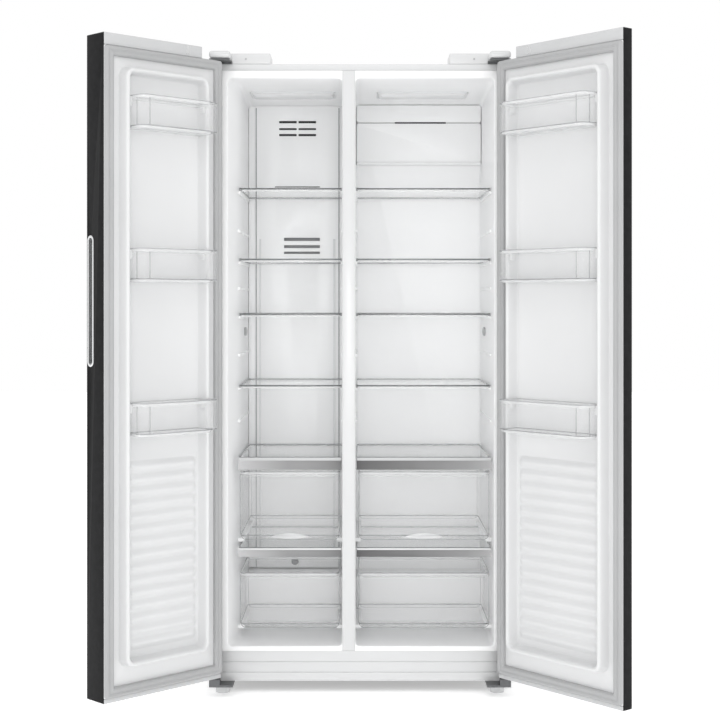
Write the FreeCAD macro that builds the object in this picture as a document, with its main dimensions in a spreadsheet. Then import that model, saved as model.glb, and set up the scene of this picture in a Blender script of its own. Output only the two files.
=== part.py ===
import FreeCAD, Part
import os
import math
import Sketcher
from FreeCAD import Vector, Placement, Rotation

# Side by side refrigerator with both doors open.
# Frame: X to the right seen from the front, Y to the back, Z up. The dimensions below are in a
# cabinet frame whose front plane is y = 0 and whose centre plane is x = 0; shift_x and shift_y move
# everything so that the origin is at the bottom centre of the whole object as it stands, doors open.

doc = FreeCAD.newDocument("side_by_side_refrigerator")
sheet = doc.addObject("Spreadsheet::Sheet", "Dims")

DIMS = [
    ("shift_x", 8.1164), ("shift_y", -90.7909),
    # cabinet
    ("half_width", 417.5), ("cab_depth", 564.0), ("cab_bottom", 34.0), ("cab_top", 1752.0),
    ("steel_gauge", 1.0), ("flange_width", 18.0),
    ("open_bottom", 131.0), ("open_top", 1712.0),
    ("freezer_left", -368.0), ("freezer_left_deep", -345.0), ("flare_depth", 110.0), ("freezer_right", -50.0),
    ("fridge_left", -12.5), ("fridge_right", 374.0),
    ("freezer_back", 510.0), ("fridge_back", 455.5), ("liner_gauge", 1.5),
    ("hump_front", 322.0), ("hump_top", 266.0), ("machine_front", 352.0), ("machine_top", 232.0),
    ("rail_top", 117.0), ("flange_top", 1734.0),
    # doors
    ("door_bottom", 53.0), ("door_top", 1785.0), ("door_inner", -10.0), ("door_front", -88.0),
    ("hinge_edge", 417.0), ("left_free", -29.0), ("right_free", -25.0),
    ("cap_bottom", 1753.0), ("corner_bottom", 1728.0), ("corner_top", 1754.0), ("corner_length", 67.0),
    ("foot_cap_top", 65.0), ("gasket_face", -0.3), ("gasket_width", 27.0),
    ("ridge_height", 35.0), ("ridge_width", 20.0), ("ridge_bottom", 140.0), ("ridge_top", 1700.0),
    ("left_ridge_a", -354.0), ("left_ridge_b", -74.0), ("right_ridge_a", 20.0), ("right_ridge_b", 362.0),
    ("edge_slope", 43.5), ("grip_bottom", 920.0), ("grip_top", 1262.0), ("grip_front", -85.0), ("grip_rear", -57.0), ("grip_depth", 22.0),
    # hinges
    ("pivot_x", 406.0), ("pivot_y", -33.0), ("pin_radius", 5.0), ("pin_hole", 5.05),
    ("left_angle", 135.5), ("right_angle", 130.0),
    # shelves and drawers
    ("shelf_front", 76.0), ("shelf_rear", 448.0), ("glass_thick", 5.0), ("trim_front", 36.0),
    ("freezer_shelf_a", -342.0), ("freezer_shelf_b", -52.0), ("fridge_shelf_a", -9.5), ("fridge_shelf_b", 369.0),
    ("freezer_drawer_a", -337.0), ("freezer_drawer_b", -57.0), ("fridge_drawer_a", -4.5), ("fridge_drawer_b", 364.0),
    ("drawer_wall", 2.5), ("drawer_front", 44.0), ("upper_drawer_rear", 440.0), ("lower_drawer_rear", 314.0),
    ("upper_drawer_bottom", 420.0), ("upper_drawer_top", 612.0), ("lower_drawer_bottom", 172.0), ("lower_drawer_top", 327.0),
    # bins
    ("bin_back", -9.0), ("bin_front", 66.0), ("bin_height", 87.0), ("bin_wall", 2.5), ("bin_corner", 24.0),
    # feet and rollers
    ("foot_x", 383.0), ("foot_y", 17.0), ("foot_radius", 21.0), ("foot_height", 22.0), ("stem_radius", 4.95),
    ("stem_hole", 5.05), ("roller_x", 350.0), ("roller_y", 530.0), ("roller_radius", 15.0), ("axle_radius", 4.0),
    ("axle_hole", 4.05),
    # fan
    ("fan_x", -197.0), ("fan_z", 1150.0), ("fan_radius", 62.0),
]
VALUE = {}
for row, (alias, value) in enumerate(DIMS, start=1):
    sheet.set("A%d" % row, alias)
    sheet.set("B%d" % row, repr(value))
    sheet.setAlias("B%d" % row, alias)
    VALUE[alias] = value
doc.recompute()

PARTS = []          # finished sub-parts: (object, label)
EXPR = {a: "Dims." + a for a, _ in DIMS}


def ex(value):
    """A length as an expression: words are sheet names, numbers stay numbers."""
    text = str(value)
    out, word = "", ""
    for ch in text + " ":
        if ch.isalnum() or ch == "_" or ch == ".":
            word += ch
        else:
            out += EXPR.get(word, word) + ch
            word = ""
    return out.strip()


def number(value):
    """The same length as a plain number, for sizes worked out here."""
    words = str(value)
    out, word = "", ""
    for ch in words + " ":
        if ch.isalnum() or ch == "_" or ch == ".":
            word += ch
        else:
            out += (repr(VALUE[word]) if word in VALUE else word) + ch
            word = ""
    total, sign, term = 0.0, 1.0, ""
    text = out.replace(" ", "")
    # sums and differences only, with brackets never used in a length
    i, terms = 0, []
    while i < len(text):
        if text[i] in "+-" and term and term[-1] not in "*/eE":
            terms.append(term)
            term = text[i]
        else:
            term += text[i]
        i += 1
    terms.append(term)
    for term in terms:
        s = 1.0
        while term and term[0] in "+-":
            if term[0] == "-":
                s = -s
            term = term[1:]
        value = 1.0
        piece, op = "", "*"
        for ch in term + "*":
            if ch in "*/" and piece:
                value = value * float(piece) if op == "*" else value / float(piece)
                piece, op = "", ch
            else:
                piece += ch
        total += s * value
    return total


def minus(a, b):
    return "(%s)-(%s)" % (ex(a), ex(b))


def box(name, x0, x1, y0, y1, z0, z1):
    """A block between two corners given in the cabinet frame."""
    b = doc.addObject("Part::Box", name)
    b.setExpression("Length", minus(x1, x0))
    b.setExpression("Width", minus(y1, y0))
    b.setExpression("Height", minus(z1, z0))
    b.setExpression("Placement.Base.x", ex(x0))
    b.setExpression("Placement.Base.y", ex(y0))
    b.setExpression("Placement.Base.z", ex(z0))
    return b


def rod(name, x, y, z, radius, length, axis="z"):
    """A round bar that starts at a point and runs along an axis."""
    c = doc.addObject("Part::Cylinder", name)
    c.setExpression("Radius", ex(radius))
    c.setExpression("Height", ex(length))
    turn = {"z": Rotation(), "x": Rotation(Vector(0, 1, 0), 90), "y": Rotation(Vector(1, 0, 0), -90)}[axis]
    c.Placement = Placement(Vector(0, 0, 0), turn)
    c.setExpression("Placement.Base.x", ex(x))
    c.setExpression("Placement.Base.y", ex(y))
    c.setExpression("Placement.Base.z", ex(z))
    return c


def fuse(name, *shapes):
    f = doc.addObject("Part::MultiFuse", name)
    f.Shapes = list(shapes)
    return f


def cut(name, base, *tools):
    tool = tools[0] if len(tools) == 1 else fuse(name + "_tool", *tools)
    c = doc.addObject("Part::Cut", name)
    c.Base = base
    c.Tool = tool
    return c


def group(name, *shapes):
    """Separate identical or cast-together solids kept as one piece."""
    g = doc.addObject("Part::Compound", name)
    g.Links = list(shapes)
    return g


def prism(name, points, z0, z1, plane="XY_Plane"):
    """A closed outline drawn on an origin plane and padded between two levels."""
    body = doc.addObject("PartDesign::Body", name)
    sk = body.newObject("Sketcher::SketchObject", name + "_outline")
    base = [f for f in body.Origin.OriginFeatures if f.Role == plane][0]
    sk.AttachmentSupport = (base, "")
    sk.MapMode = "FlatFace"
    n = len(points)
    flat = [(number(a), number(b)) for a, b in points]
    for i in range(n):
        a, b = flat[i], flat[(i + 1) % n]
        sk.addGeometry(Part.LineSegment(Vector(a[0], a[1], 0), Vector(b[0], b[1], 0)), False)
    for i in range(n):
        sk.addConstraint(Sketcher.Constraint("Coincident", i, 2, (i + 1) % n, 1))
    for i in range(n):
        for kind, pos in (("DistanceX", 0), ("DistanceY", 1)):
            k = sk.addConstraint(Sketcher.Constraint(kind, -1, 1, i, 1, flat[i][pos]))
            sk.setExpression("Constraints[%d]" % k, ex(points[i][pos]))
    sk.setExpression("AttachmentOffset.Base.z", ex(z0))
    pad = body.newObject("PartDesign::Pad", name + "_pad")
    pad.Profile = sk
    pad.setExpression("Length", minus(z1, z0))
    body.Tip = pad
    return body


def finish(obj, label, door=None):
    """Names a finished sub-part and puts it where it stands in the row frame."""
    obj.Label = label
    shift = Vector(VALUE["shift_x"], VALUE["shift_y"], 0)
    if obj.TypeId == "Part::Box":
        for path, text in list(obj.ExpressionEngine):
            for axis in ("x", "y"):
                if path.strip(".") == "Placement.Base." + axis:
                    obj.setExpression("Placement.Base." + axis, "(%s) + Dims.shift_%s" % (text, axis))
    elif door is None:
        obj.Placement = Placement(shift, Rotation())
    else:
        sign = -1.0 if door == "left" else 1.0
        pivot = Vector(sign * VALUE["pivot_x"], VALUE["pivot_y"], 0)
        angle = -VALUE["left_angle"] if door == "left" else VALUE["right_angle"]
        turn = Rotation(Vector(0, 0, 1), angle)
        obj.Placement = Placement(shift + pivot - turn.multVec(pivot), turn)
    PARTS.append((obj, label))
    return obj


# ---------------------------------------------------------------- cabinet shell
wrap_out = box("wrap_out", "-half_width", "half_width", 0, "cab_depth", "cab_bottom", "cab_top")
wrap_in = box("wrap_in", "-half_width+steel_gauge", "half_width-steel_gauge", 1, "cab_depth+5", "cab_bottom-1", "cab_top-steel_gauge")
wrap_mouth = box("wrap_mouth", "-half_width+flange_width", "half_width-flange_width", -1, 3, "cab_bottom-1", "flange_top")
finish(cut("outer_wrap", wrap_out, wrap_in, wrap_mouth), "outer_wrap")

finish(box("back_panel", "-half_width", "half_width", "cab_depth", "cab_depth+1", 250, "cab_top"), "back_panel")

rail = box("rail_bar", "-half_width+flange_width", "half_width-flange_width", 0, 8, "cab_bottom", "rail_top")
rail_groove_a = box("rail_groove_a", "-half_width", "half_width", -1, 1.5, 57, 59)
rail_groove_b = box("rail_groove_b", "-half_width", "half_width", -1, 1.5, 86, 88)
finish(cut("bottom_rail", rail, rail_groove_a, rail_groove_b), "bottom_rail")

mullion_bar = box("mullion_bar", "freezer_right+liner_gauge", "fridge_left-liner_gauge", 0, 13, "rail_top", "open_top+2")
mullion_tab = box("mullion_tab", "freezer_right+liner_gauge", "fridge_left-liner_gauge", 0, 1.5, "open_top+1", "flange_top")
finish(fuse("centre_mullion", mullion_bar, mullion_tab), "centre_mullion")

# blown foam: one wall after another, all bonded between the sheet steel and the liners
sheet_in = "half_width-steel_gauge"
foam = [
    prism("foam_left_upper", [("-half_width+steel_gauge", 2), ("freezer_left-liner_gauge", 2),
                              ("freezer_left_deep-liner_gauge", "flare_depth"), ("freezer_left_deep-liner_gauge", 563),
                              ("-half_width+steel_gauge", 563)], "machine_top", "open_top+2.5"),
    prism("foam_left_lower", [("-half_width+steel_gauge", 8.5), ("freezer_left-liner_gauge", 8.5),
                              ("freezer_left_deep-liner_gauge", "flare_depth"), ("freezer_left_deep-liner_gauge", "machine_front"),
                              ("-half_width+steel_gauge", "machine_front")], 97, "machine_top"),
    box("foam_right_upper", "fridge_right+liner_gauge", sheet_in, 2, 563, "machine_top", "open_top+2.5"),
    box("foam_right_lower", "fridge_right+liner_gauge", sheet_in, 8.5, "machine_front", 97, "machine_top"),
    box("foam_centre_upper", "freezer_right+liner_gauge", "fridge_left-liner_gauge", 13, 511.5, "hump_top", "open_top+2.5"),
    box("foam_centre_lower", "freezer_right+liner_gauge", "fridge_left-liner_gauge", 13, "hump_front+1.5", "open_bottom-1.5", "hump_top"),
    box("foam_top", "-half_width+steel_gauge", sheet_in, 2, 563, "open_top+2.5", "cab_top-steel_gauge"),
    box("foam_back", "freezer_left_deep-liner_gauge", "fridge_right+liner_gauge", 511.5, 563, "machine_top", "open_top+2.5"),
    box("foam_fridge_back", "fridge_left-liner_gauge", "fridge_right+liner_gauge", "fridge_back+1.5", 511.5, "hump_top", "open_top+2.5"),
    box("foam_hump_top", "freezer_left_deep-liner_gauge", "fridge_right+liner_gauge", "hump_front+1.5", 511.5, "machine_top", "hump_top-1.5"),
    box("foam_hump_front", "freezer_left_deep-liner_gauge", "fridge_right+liner_gauge", "hump_front+1.5", "machine_front", "open_bottom-1.5", "machine_top"),
    box("foam_bottom", "freezer_left_deep-liner_gauge", "fridge_right+liner_gauge", 26, "machine_front", 97, "open_bottom-1.5"),
]
finish(group("foam_insulation", *foam), "foam_insulation")

# shelf levels: tops of the plain glass shelves, the same on both sides
SHELF_TOPS = [1413.0, 1212.6, 1057.0, 854.0]


def liner(name, left, left_deep, right, back, flange_a, flange_b, ledge_left, ledge_right):
    """A moulded inner liner: a deep tray with a front flange, a step over the machine space and shelf ledges."""
    out = prism(name + "_out", [(left + "-liner_gauge", 0), (right + "+liner_gauge", 0), (right + "+liner_gauge", back + "+liner_gauge"),
                                (left_deep + "-liner_gauge", back + "+liner_gauge"), (left_deep + "-liner_gauge", "flare_depth")],
                "open_bottom-1.5", "open_top+1.5")
    step = box(name + "_step", "-half_width", "half_width", "hump_front+1.5", 600, 100, "hump_top-1.5")
    outer = cut(name + "_outer", out, step)
    flange = box(name + "_flange", flange_a, flange_b, 0, 1.5, "rail_top", "flange_top")
    whole = fuse(name + "_whole", outer, flange)
    inn = prism(name + "_in", [(left, -1), (right, -1), (right, back), (left_deep, back), (left_deep, "flare_depth"), (left, 0)],
                "open_bottom", "open_top")
    step_in = box(name + "_step_in", "-half_width", "half_width", "hump_front", 600, 100, "hump_top")
    inner = cut(name + "_inner", inn, step_in)
    tray = cut(name + "_tray", whole, inner)
    ledges = []
    for i, top in enumerate(SHELF_TOPS + [652.0, 398.0]):
        ledges.append(box("%s_ledge_l%d" % (name, i), left_deep + "-0.5", ledge_left, "flare_depth+5", 440,
                          "%s-glass_thick-12" % top, "%s-glass_thick-0.5" % top))
        ledges.append(box("%s_ledge_r%d" % (name, i), ledge_right, right + "+0.5", "flare_depth+5", 440,
                          "%s-glass_thick-12" % top, "%s-glass_thick-0.5" % top))
    for i, (top, rear) in enumerate((("upper_drawer_bottom-6", 440), ("lower_drawer_bottom-0.5", 316))):
        ledges.append(box("%s_run_l%d" % (name, i), left_deep + "-0.5", ledge_left + "+12", "flare_depth+5", rear, top + "-6" if i else top, top + "+5.5" if not i else top))
        ledges.append(box("%s_run_r%d" % (name, i), ledge_right + "-12", right + "+0.5", "flare_depth+5", rear, top + "-6" if i else top, top + "+5.5" if not i else top))
    return fuse(name, tray, *ledges)


finish(liner("freezer_liner", "freezer_left", "freezer_left_deep", "freezer_right", "freezer_back",
             "-half_width+flange_width", "freezer_right+liner_gauge", "freezer_shelf_a+4", "freezer_shelf_b-4"), "freezer_liner")
finish(liner("fridge_liner", "fridge_left", "fridge_left", "fridge_right", "fridge_back",
             "fridge_left-liner_gauge", "half_width-flange_width", "fridge_shelf_a+4", "fridge_shelf_b-4"), "fridge_liner")

# freezer air-duct cover: a full-height plate with a raised centre and slots
duct_plate = box("duct_plate", -344.2, -50.8, 455, 459, "hump_top+2", 1711)
duct_face = box("duct_face", -320, -66, 451, 456, "hump_top+3", 1700)
duct = fuse("duct_whole", duct_plate, duct_face)
slots = []
for i, (x0, x1, z0, z1) in enumerate([(-250, -196, 1643, 1650), (-190, -136, 1643, 1650), (-250, -196, 1622, 1628),
                                      (-190, -136, 1622, 1628), (-250, -196, 1603, 1610), (-190, -136, 1603, 1610),
                                      (-235, -124, 1279, 1289), (-235, -124, 1257, 1266), (-235, -124, 1239, 1246),
                                      (-263, -124, 1444, 1448)]):
    slots.append(box("duct_slot_%d" % i, x0, x1, 445, 465, z0, z1))
finish(cut("freezer_duct_cover", duct, *slots), "freezer_duct_cover")

fr_duct = box("fr_duct_block", "fridge_left+1", "fridge_right-1", 426, "fridge_back", 1519, 1698)
fr_duct_in = box("fr_duct_in", "fridge_left+4", "fridge_right-4", 429, "fridge_back+5", 1522, 1695)
fr_slot = box("fr_duct_slot", 107, 264, 420, 432, 1638, 1644)
finish(cut("fridge_duct_cover", fr_duct, fr_duct_in, fr_slot), "fridge_duct_cover")

lamp_a = box("lamp_freezer", -323, -72, 205, 320, 1704, "open_top")
lamp_b = box("lamp_fridge", 49, 318, 205, 320, 1704, "open_top")
finish(group("ceiling_lamps", lamp_a, lamp_b), "ceiling_lamps")

# evaporator: finned block on tubes behind the freezer duct cover
tubes = [box("evap_tube_%d" % i, -318, -76, 472, 480, "%d" % (720 + 60 * i), "%d" % (728 + 60 * i)) for i in range(5)]
fins = [box("evap_fin_%d" % i, "%d" % (-310 + 22 * i), "%d+1" % (-310 + 22 * i), 464, 488, 700, 990) for i in range(11)]
ends = [box("evap_end_a", -320, -318, 462, 509, 695, 995), box("evap_end_b", -76, -74, 462, 509, 695, 995)]
finish(fuse("evaporator", *(tubes + fins + ends)), "evaporator")

motor = rod("fan_motor_can", "fan_x", 494, "fan_z", 24, 16, "y")
shaft = rod("fan_motor_shaft", "fan_x", 466, "fan_z", 2, 30, "y")
finish(fuse("fan_motor", motor, shaft), "fan_motor")

hub = rod("fan_hub", "fan_x", 470, "fan_z", 16, 20, "y")
blades = []
for i in range(5):
    b = doc.addObject("Part::Box", "fan_blade_%d" % i)
    b.setExpression("Length", "Dims.fan_radius - 12")
    b.Width, b.Height = 2.0, 30.0
    lean = Rotation(Vector(1, 0, 0), 28)
    spin = Rotation(Vector(0, 1, 0), 72 * i)
    start = Vector(12, -1, -15)
    b.Placement = Placement(Vector(VALUE["fan_x"], 480, VALUE["fan_z"]), spin).multiply(
        Placement(Vector(0, 0, 0), lean).multiply(Placement(start, Rotation())))
    blades.append(b)
fan = fuse("fan_whole", hub, *blades)
fan_bore = rod("fan_bore", "fan_x", 460, "fan_z", 2.05, 40, "y")
finish(cut("evaporator_fan", fan, fan_bore), "evaporator_fan")

# ---------------------------------------------------------------- base and machine space
pan = box("pan_sheet", "-half_width+steel_gauge", sheet_in, 24, 563, "cab_bottom", "cab_bottom+2")
ears, ear_holes = [], []
for side in (-1, 1):
    for k, off in enumerate((-14.0, 11.0)):
        ears.append(box("ear_%d_%d" % (side, k), "%s*roller_x+%s" % (side, off), "%s*roller_x+%s" % (side, off + 3), "roller_y-12", "roller_y+12",
                        7, "cab_bottom+1"))
    ear_holes.append(rod("ear_bore_%d" % side, "%s*roller_x-20" % side, "roller_y", "roller_radius", "axle_hole", 40, "x"))
pan_all = fuse("pan_all", pan, *ears)
finish(cut("base_pan", pan_all, *ear_holes), "base_pan")


def roller(name, side):
    wheel = rod(name + "_wheel", "%s*roller_x-9" % side, "roller_y", "roller_radius", "roller_radius", 18, "x")
    axle = rod(name + "_axle", "%s*roller_x-17" % side, "roller_y", "roller_radius", "axle_radius", 34, "x")
    return fuse(name, wheel, axle)


through_axle = rod("through_axle", "-1*roller_x", "roller_y", "roller_radius", "axle_radius", "2*roller_x", "x")
finish(fuse("rear_rollers", roller("rear_roller_l", -1), roller("rear_roller_r", 1), through_axle), "rear_rollers")

shell_c = rod("compressor_can", 230, 460, 60, 78, 110)
dome = doc.addObject("Part::Sphere", "compressor_dome")
dome.Radius = 100.0
dome.Placement.Base = Vector(230, 460, 107.4)
dome_keep = rod("compressor_dome_keep", 230, 460, 165, 77.9, 60)
dome_cut = doc.addObject("Part::Common", "compressor_cap")
dome_cut.Base, dome_cut.Tool = dome, dome_keep
foot_a = box("compressor_foot_a", 145, 315, 405, 430, 44, 48)
foot_b = box("compressor_foot_b", 145, 315, 490, 515, 44, 48)
saddle = box("compressor_saddle", 175, 285, 405, 515, 46, 64)
mounts = [rod("compressor_rubber_%d" % i, x, y, "cab_bottom+2", 11, 9) for i, (x, y) in enumerate(((155, 417), (305, 417), (155, 503), (305, 503)))]
finish(fuse("compressor", shell_c, dome_cut, foot_a, foot_b, saddle, *mounts), "compressor")

cover = box("machine_cover_sheet", "-half_width+2", "half_width-2", "cab_depth", "cab_depth+1", 37, 249)
louvres = [box("louvre_%d" % i, "%d" % (-330 + 60 * i), "%d" % (-290 + 60 * i), "cab_depth-2", "cab_depth+3", z, "%d+5" % z)
           for i in range(11) for z in (90, 110, 130, 150, 170, 190)]
finish(cut("machine_cover", cover, *louvres), "machine_cover")


# ---------------------------------------------------------------- hinges
top_hinges, covers, bottom_hinges = [], [], []
for sign, tag in ((-1, "l"), (1, "r")):
    def xs(a, b):
        return (a, b) if sign > 0 else (-b, -a)
    px = "%s*pivot_x" % sign
    x0, x1 = xs(265.0, 412.0)
    rear = box("th_rear_" + tag, x0, x1, 4, 62, "cab_top", "cab_top+4")
    x0, x1 = xs(359.0, 412.0)
    riser = box("th_riser_" + tag, x0, x1, 1, 10, "cab_top", "cab_top+8")
    x0, x1 = xs(359.0, 416.0)
    front = box("th_front_" + tag, x0, x1, -47, 6, "cab_top+4", "cab_top+8")
    pin = rod("th_pin_" + tag, px, "pivot_y", 1731, "pin_radius", "cab_top+5-1731")
    top_hinges.append(fuse("top_hinge_" + tag, rear, riser, front, pin))

    x0, x1 = xs(357.0, 416.5)
    cap = box("hc_cap_" + tag, x0, x1, -50, 2, "cab_top+9.5", "cab_top+30")
    capf = doc.addObject("Part::Fillet", "hc_capf_" + tag)
    capf.Base = cap
    doc.recompute()
    capf.Edges = [(i + 1, 8.0, 8.0) for i, e in enumerate(cap.Shape.Edges)
                  if abs(e.CenterOfMass.y + 50) < 0.1 and abs(e.CenterOfMass.z - (VALUE["cab_top"] + 19.75)) < 0.1]
    x0, x1 = xs(359.0, 414.5)
    cap_in = box("hc_cap_in_" + tag, x0, x1, -44, 8, "cab_top+8", "cab_top+28")
    x0, x1 = xs(249.0, 416.5)
    house = box("hc_house_" + tag, x0, x1, 1, 96, "cab_top", "cab_top+30")
    x0, x1 = xs(251.0, 414.5)
    house_in = box("hc_house_in_" + tag, x0, x1, 3, 94, "cab_top-1", "cab_top+28")
    x0, x1 = xs(357.0, 418.0)
    house_gap = box("hc_gap_" + tag, x0, x1, -1, 12, "cab_top-1", "cab_top+9.5")
    covers.append(cut("hinge_cover_" + tag, fuse("hc_all_" + tag, capf, house), cap_in, house_in, house_gap))

    x0, x1 = xs(350.0, 416.0)
    plate = box("bh_plate_" + tag, x0, x1, -48, 60, "cab_bottom-6", "cab_bottom")
    x0, x1 = xs(386.0, 416.0)
    boss = box("bh_boss_" + tag, x0, x1, -48, -18, "cab_bottom-1", 50)
    pin_b = rod("bh_pin_" + tag, px, "pivot_y", "cab_bottom-2", "pin_radius", "63-cab_bottom+2")
    stem_hole = rod("bh_hole_" + tag, "%s*foot_x" % sign, "foot_y", 20, "stem_hole", 20)
    bottom_hinges.append(cut("bottom_hinge_" + tag, fuse("bh_all_" + tag, plate, boss, pin_b), stem_hole))
finish(group("door_hinges", *(top_hinges + bottom_hinges)), "door_hinges")
finish(group("hinge_covers", *covers), "hinge_covers")


# ---------------------------------------------------------------- levelling feet
def foot(name, sign):
    """An eight-sided knob with a stem, as a revolved body with flats."""
    body = doc.addObject("PartDesign::Body", name + "_knob")
    sk = body.newObject("Sketcher::SketchObject", name + "_octagon")
    base = [f for f in body.Origin.OriginFeatures if f.Role == "XY_Plane"][0]
    sk.AttachmentSupport = (base, "")
    sk.MapMode = "FlatFace"
    cx, cy, r = sign * VALUE["foot_x"], VALUE["foot_y"], VALUE["foot_radius"]
    pts = [Vector(cx + r * math.cos(math.radians(22.5 + 45 * i)), cy + r * math.sin(math.radians(22.5 + 45 * i)), 0) for i in range(8)]
    for i in range(8):
        sk.addGeometry(Part.LineSegment(pts[i], pts[(i + 1) % 8]), False)
    for i in range(8):
        sk.addConstraint(Sketcher.Constraint("Coincident", i, 2, (i + 1) % 8, 1))
    for i in range(8):
        a = math.radians(22.5 + 45 * i)
        k = sk.addConstraint(Sketcher.Constraint("DistanceX", -1, 1, i, 1, pts[i].x))
        sk.setExpression("Constraints[%d]" % k, "%d * Dims.foot_x + Dims.foot_radius * %.6f" % (sign, math.cos(a)))
        k = sk.addConstraint(Sketcher.Constraint("DistanceY", -1, 1, i, 1, pts[i].y))
        sk.setExpression("Constraints[%d]" % k, "Dims.foot_y + Dims.foot_radius * %.6f" % math.sin(a))
    pad = body.newObject("PartDesign::Pad", name + "_pad")
    pad.Profile = sk
    pad.setExpression("Length", "Dims.foot_height")
    doc.recompute()
    cham = body.newObject("PartDesign::Chamfer", name + "_chamfer")
    top = ["Edge%d" % (i + 1) for i, e in enumerate(pad.Shape.Edges) if abs(e.BoundBox.ZMin - VALUE["foot_height"]) < 1e-3]
    cham.Base = (pad, top)
    cham.Size = 2.5
    body.Tip = cham
    stem = rod(name + "_stem", "%s*foot_x" % sign, "foot_y", 15, "stem_radius", 45)
    return fuse(name, body, stem)


finish(foot("left_foot", -1), "left_foot")
finish(foot("right_foot", 1), "right_foot")


# ---------------------------------------------------------------- doors
def door(tag):
    sign = -1 if tag == "left" else 1
    hinge = "-hinge_edge" if sign < 0 else "hinge_edge"
    free = tag + "_free"

    def span(from_free, from_hinge):
        """x limits of a piece set in from the free edge and from the hinge edge."""
        if sign < 0:
            return "%s+%s" % (hinge, from_hinge), "%s-%s" % (free, from_free)
        return "%s+%s" % (free, from_free), "%s-%s" % (hinge, from_hinge)

    def near_hinge(a, b):
        if sign < 0:
            return "%s+%s" % (hinge, a), "%s+%s" % (hinge, b)
        return "%s-%s" % (hinge, b), "%s-%s" % (hinge, a)

    # painted steel panel: front face and two side returns over the whole height, corner cut away for the hinge;
    # the right door's free edge slopes back at the front, so that fingers reach in between the shut doors
    def sloped(name, piece, gauge):
        if tag == "left":
            return piece
        wedge = prism(name + "_wedge", [("right_free-2", "door_front-2"), ("right_free+edge_slope+2+%s" % gauge, "door_front-2"),
                                        ("right_free-2", "door_front+edge_slope+2+%s" % gauge)], "door_bottom-5", "door_top+5")
        return cut(name + "_sloped", piece, wedge)

    x0, x1 = span(0, 0)
    skin = sloped(tag + "_skin_s", box(tag + "_skin", x0, x1, "door_front", "door_inner", "door_bottom", "door_top"), "0")
    x0, x1 = span(1, 1)
    hollow = sloped(tag + "_hollow_s", box(tag + "_hollow", x0, x1, "door_front+1", "door_inner+1", "door_bottom-1", "door_top+1"), "1.4142")
    x0, x1 = near_hinge(-1, "corner_length")
    corner = box(tag + "_corner", x0, x1, "door_front-1", "door_inner+1", "corner_bottom", "door_top+1")
    tools = [hollow, corner]
    if tag == "left":
        tools.append(box("grip_window", "left_free-grip_depth", "left_free+1", "grip_front", "grip_rear", "grip_bottom", "grip_top"))
    finish(cut(tag + "_outer_panel", skin, *tools), tag + "_door_panel", tag)

    # foam core, with the four bars that fill the liner's ridges
    ra, rb = tag + "_ridge_a", tag + "_ridge_b"
    low, high = "door_front+1", "door_inner-1"
    core = []
    if tag == "left":
        x0, x1 = span("grip_depth", 1)
        core.append(box(tag + "_core_main", x0, x1, low, high, "foot_cap_top", "corner_bottom"))
        x0, x1 = span("grip_depth", "corner_length")
        core.append(box(tag + "_core_top", x0, x1, low, high, "corner_bottom", "cap_bottom"))
        x0, x1 = "left_free-grip_depth", "left_free-1"
        core.append(box("core_edge_low", x0, x1, low, high, "foot_cap_top", "grip_bottom"))
        core.append(box("core_edge_high", x0, x1, low, high, "grip_top", "cap_bottom"))
        core.append(box("core_edge_mid", x0, x1, "grip_rear", high, "grip_bottom", "grip_top"))
    else:
        x0, x1 = span(1, 1)
        core.append(sloped(tag + "_core_main_s", box(tag + "_core_main", x0, x1, low, high, "foot_cap_top", "corner_bottom"), "1.4142"))
        x0, x1 = span(1, "corner_length")
        core.append(sloped(tag + "_core_top_s", box(tag + "_core_top", x0, x1, low, high, "corner_bottom", "cap_bottom"), "1.4142"))
    rise = "door_inner+ridge_height-1.5"
    bars = [
        box(tag + "_bar_a", ra + "+1.5", ra + "+ridge_width-1.5", high, rise, "ridge_bottom+1.5", "ridge_top-1.5"),
        box(tag + "_bar_b", rb + "-ridge_width+1.5", rb + "-1.5", high, rise, "ridge_bottom+1.5", "ridge_top-1.5"),
        box(tag + "_bar_c", ra + "+ridge_width-1.5", rb + "-ridge_width+1.5", high, rise, "ridge_bottom+1.5", "ridge_bottom+ridge_width-1.5"),
        box(tag + "_bar_d", ra + "+ridge_width-1.5", rb + "-ridge_width+1.5", high, rise, "ridge_top-ridge_width+1.5", "ridge_top-1.5"),
    ]
    finish(group(tag + "_foam", *(core + bars)), tag + "_door_foam", tag)

    # moulded liner: flat sheet with a hollow ridge frame
    x0, x1 = span(1, 1)
    sheet_l = box(tag + "_liner_sheet", x0, x1, high, "door_inner", "foot_cap_top", "corner_bottom")
    x0, x1 = span(1, "corner_length")
    sheet_t = box(tag + "_liner_top", x0, x1, high, "door_inner", "corner_bottom-1", "cap_bottom")
    frame_out = box(tag + "_ridge_out", ra, rb, high, "door_inner+ridge_height", "ridge_bottom", "ridge_top")
    frame_in = box(tag + "_ridge_in", ra + "+ridge_width", rb + "-ridge_width", "door_inner", 60, "ridge_bottom+ridge_width", "ridge_top-ridge_width")
    bars2 = [
        box(tag + "_void_a", ra + "+1.5", ra + "+ridge_width-1.5", "door_inner-5", rise, "ridge_bottom+1.5", "ridge_top-1.5"),
        box(tag + "_void_b", rb + "-ridge_width+1.5", rb + "-1.5", "door_inner-5", rise, "ridge_bottom+1.5", "ridge_top-1.5"),
        box(tag + "_void_c", ra + "+2", rb + "-2", "door_inner-5", rise, "ridge_bottom+1.5", "ridge_bottom+ridge_width-1.5"),
        box(tag + "_void_d", ra + "+2", rb + "-2", "door_inner-5", rise, "ridge_top-ridge_width+1.5", "ridge_top-1.5"),
    ]
    whole = fuse(tag + "_liner_whole", sheet_l, sheet_t, frame_out)
    finish(cut(tag + "_liner_cut", whole, frame_in, *bars2), tag + "_door_liner", tag)

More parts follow.
